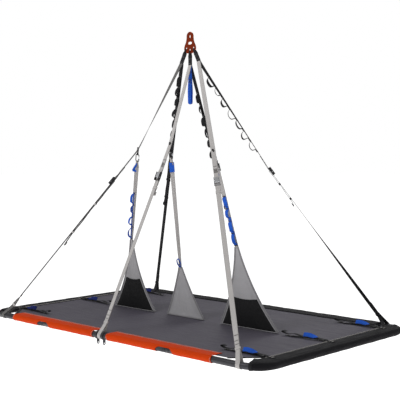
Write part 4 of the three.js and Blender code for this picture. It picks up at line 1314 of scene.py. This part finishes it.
def fin_webbing(name):
    """The webbing from a clip to a fin's apex, with its blue pull tab and the blue loops sewn down it."""
    line = fin_clip(name)
    up, low_eye = line.up, line.low_eye
    wide = square_to(OPEN_SIDE, up)
    front = wide.cross(up)
    front = front if front.y < 0 else -front
    outward = square_to(-OPEN_SIDE, up)
    edge_on = square_to(Vector((-OPEN_SIDE.y, OPEN_SIDE.x, 0)), up)
    path = [low_eye - up * 0.040 - line.face * 0.0020, low_eye - up * 0.012 - line.face * 0.0020]
    path += bend(low_eye, -line.face, up, EYE_LOOP, 0, 180, 12)
    path.append(low_eye - up * 0.012 + line.face * 0.0006)
    path += rounded([low_eye - up * 0.03, line.apex - up * 0.030], 0.01, 0.02)
    length = (low_eye - line.apex).length
    drops = [(low_eye - p).dot(up) for p in path]
    widths, aims = [], []
    for d in drops:
        widths.append(0.0105 + 0.0135 * smooth_step((d - 0.004) / 0.016) - 0.005 * smooth_step(d / length))
        opened = smooth_step((d - 0.012) / 0.05) * (1 - 0.8 * smooth_step((d - length + 0.16) / 0.15))
        aims.append(line.across.lerp(wide, opened))
    strap = Piece()
    strap.tape(path, aims, widths, 0.0016)
    obj = strap.make("fin_webbing_" + name, "grey_webbing")
    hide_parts("fin_strap_" + name)
    tacks = Piece()
    for drop in (0.022, 0.034):
        spot = low_eye - up * drop - line.face * 0.0008
        tacks.block(spot, line.axes, (0.017, 0.004, 0.0050))
    tacks.make("fin_webbing_stitching_" + name, "grey_webbing", material=STITCH_DARK_GREY)
    blue = Piece()
    if name == "middle":
        top = low_eye - up * 0.022
        lift = front * 0.0030
        blue.tape([top + lift, top - up * 0.026 + lift * 1.6, top - up * 0.054 + lift], wide, 0.0275, 0.0018)
        blue.tape([top - lift * 1.5, top - up * 0.054 - lift * 1.5], wide, 0.0275, 0.0018)
        ring = []
        for k in range(21):
            a = 2 * math.pi * k / 20
            side = 0.006 * (1 - math.cos(a)) + 0.009 * math.sin(a)
            ring.append(line.apex + up * (0.026 - 0.024 * math.cos(a)) + outward * side + front * 0.003)
        blue.tape(ring, edge_on.lerp(wide, 0.22), 0.014, 0.0028)
        blue.make("blue_tabs_" + name, "blue_webbing")
        return
    tab = [low_eye - up * 0.012 + front * 0.002]
    for k in range(9):
        t = k / 8
        spot = low_eye - up * (0.018 + 0.036 * t) + outward * 0.019 * t ** 0.8
        tab.append(spot + front * (0.003 + 0.004 * t))
    tab.append(low_eye - up * 0.058 + outward * 0.006 + front * 0.003)
    tab.append(low_eye - up * 0.062 + front * 0.002)
    blue.tape(smooth(tab, 2), edge_on.lerp(wide, 0.6), 0.016, 0.0016)
    blue.make("blue_tabs_" + name, "blue_webbing")
    if name == "left":
        first, count, size, width, swivel = 0.205, 4, 0.020, 0.018, 1.0
        across, face = edge_on, outward
        backing = [low_eye - up * 0.195 + outward * 0.006, line.apex + up * 0.004 + outward * 0.005]
        strip = Piece()
        strip.tape(rounded(backing, 0.01, 0.03), edge_on.lerp(wide, 0.30), 0.012, 0.0026)
        strip.make("blue_backing_" + name, "blue_webbing")
    else:
        first, count, size, width, swivel = 0.185, 4, 0.015, 0.021, 0.45
        face = (front * 0.82 + outward * 0.42).normalized()
        across = square_to(face.cross(up), up)
    pitch = (length - first - 0.004) / count
    loops = "blue_loops_" + name
    axes = (across, up, face)
    daisy_chain(loops, low_eye, axes, first, pitch, count, size, "blue_webbing", width, swivel, 0.0030)


# ---------------------------------------------------------------- bed tensioners
def tensioner(end, place):
    """A ladder buckle beside the end sleeve, the bed's webbing through it, its tail and a blue pull tab."""
    sx = -1 if end == "left" else 1
    y = TENSIONER_Y[place]
    label = f"{end}_{place}"
    along = Vector((sx, 0, 0))
    sideways = Vector((0, 1, 0))

    def spot(x, up, dy=0.0):
        return at(sx * x, y + dy, up)

    strap = Piece()
    main = [(690, bed_height(sx * 690, y) + 1.9), (715, bed_height(sx * 715, y) + 2.0), (800, 18.6)]
    main += [(880, 20.6), (905, 22.6), (914, 23.4), (921, 22.8), (926, 20.6)]
    strap.tape(smooth([spot(x, up) for x, up in main], 4), sideways, 0.020, 0.0018)
    sewn = [(936, 20.6), (929, 22.6), (934, 24.2), (945, 21.8), (968, 20.8), (985, 20.4)]
    strap.tape(smooth([spot(x, up) for x, up in sewn], 4), sideways, 0.020, 0.0018)
    tail = [(915, 25.8), (900, 25.4), (880, 27.0), (840, 22.4), (790, 21.6), (745, 28.5)]
    tail += [(712, 23.6), (688, 24.6), (668, 30.6), (674, 36.4), (694, 34.0)]
    strap.tape(smooth([spot(x, up, 3 * math.sin(x / 40)) for x, up in tail], 4), sideways, 0.0195, 0.0016)
    obj = strap.make("tension_webbing_" + label, "black_webbing")
    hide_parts("tensioner_" + label)
    buckle = Piece()
    axes = (along, sideways, along.cross(sideways))
    for dy in (-12.2, 12.2):
        buckle.block(spot(LADDER_X, LADDER_Z + 1.4, dy), axes, (0.030, 0.0034, 0.0064), 0.0012, 3)
    for dx, up, thick in ((-13, 1.0, 4.6), (0, 2.6, 4.2), (13, 0.8, 4.2)):
        buckle.block(spot(LADDER_X + dx, LADDER_Z + up), axes, (0.0042, 0.026, thick / 1000), 0.0012, 3)
    buckle.block(spot(LADDER_X - 15.5, LADDER_Z + 4.0), axes, (0.005, 0.018, 0.0022), 0.0009, 2)
    buckle.make("ladder_buckle_" + label, "black_webbing", material=BLACK_PLASTIC, sharp=40)
    pull = Piece()
    rise = [(880, 28.8), (862, 29.6), (842, 33.0), (822, 34.5), (800, 32.0)]
    blue = smooth([spot(x, up) for x, up in rise], 5)
    lean = [smooth_step(k / 8) for k in range(len(blue))]
    pull.tape(blue, [Vector((0, 1 - 0.45 * s, 0.85 * s)) for s in lean], 0.022, 0.0032)
    # The left end's pull tabs take the darker blue copy, which is painted shade.
    pull.make("pull_tab_" + label, "blue_webbing", material=PAINTED_SHADE_BLUE_WEBBING if sx < 0 else None)
    tacks = Piece()
    for x, deep, wide in ((694, 0.0035, 0.017), (722, 0.0035, 0.017), (708, 0.022, 0.0014)):
        tacks.block(spot(x, bed_height(sx * x, y) + 2.5), axes, (deep, wide, 0.0022), 0.0005)
    for x in (958, 975):
        tacks.block(spot(x, 21.4), axes, (0.0035, 0.017, 0.0024), 0.0005)
    tacks.make("tension_stitching_" + label, "black_webbing", material=STITCH_GREY)


# ---------------------------------------------------------------- metal parts that keep their CAD shape
def finish_cad_metal():
    for node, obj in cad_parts.items():
        if not node.startswith(("buckle_", "cam_")):
            continue
        ease = obj.modifiers.new("eased edges", "BEVEL")
        ease.width = 0.0005
        ease.segments = 2
        ease.limit_method = "ANGLE"
        ease.angle_limit = math.radians(40)
        bright = node.startswith("cam_") or node == "buckle_near_right"
        obj.data.materials.clear()
        obj.data.materials.append(MATERIALS["steel" if bright else "black_metal"])


camera()
studio()
rigging_plate()
for side in HEADER_ENDS:
    header(side)
sling()
for line in LINES.values():
    upper_strap(line)
    lower_strap(line)
for name, first, pitch, count, bulge in (
    ("far_right", 0.100, 0.070, 7, 0.024),
    ("far_middle", 0.168, 0.068, 6, 0.017),
    ("far_left", 0.085, 0.072, 6, 0.018),
):
    s = LINES[name]
    run_up = (s.start - (s.kink or s.centre)).normalized()
    turned = s.level.lerp(s.across, 0.6).normalized()
    face = turned.cross(run_up)
    if face.z > 0:
        face = -face
    axes = (turned, run_up, face)
    daisy_chain("daisy_loops_" + name, s.start, axes, first, pitch, count, bulge, "black_webbing", 0.020, 0.5)
bed_frame()
spreader()
bed_panel()
long_sleeve("orange_sleeve_left", "near_sleeve_left", -1, -804, -100, "orange_fabric", [(-573, -473)], [], 64)
long_sleeve("orange_sleeve_right", "near_sleeve_right", -1, 10, 741, "orange_fabric", [(376, 490)], [], 64)
far_windows = [(-573, -473), (383, 483)]
long_sleeve("black_sleeve_far", "far_sleeve", 1, -870, 870, "black_fabric", far_windows, [(-100, 10)], 88)
end_sleeve(-1, "black_sleeve_left", "end_sleeve_left")
end_sleeve(1, "black_sleeve_right", "end_sleeve_right")
for name in FINS:
    fin_webbing(name)
    fin_panel(name)
for end in ("left", "right"):
    for place in TENSIONER_Y:
        tensioner(end, place)
finish_cad_metal()
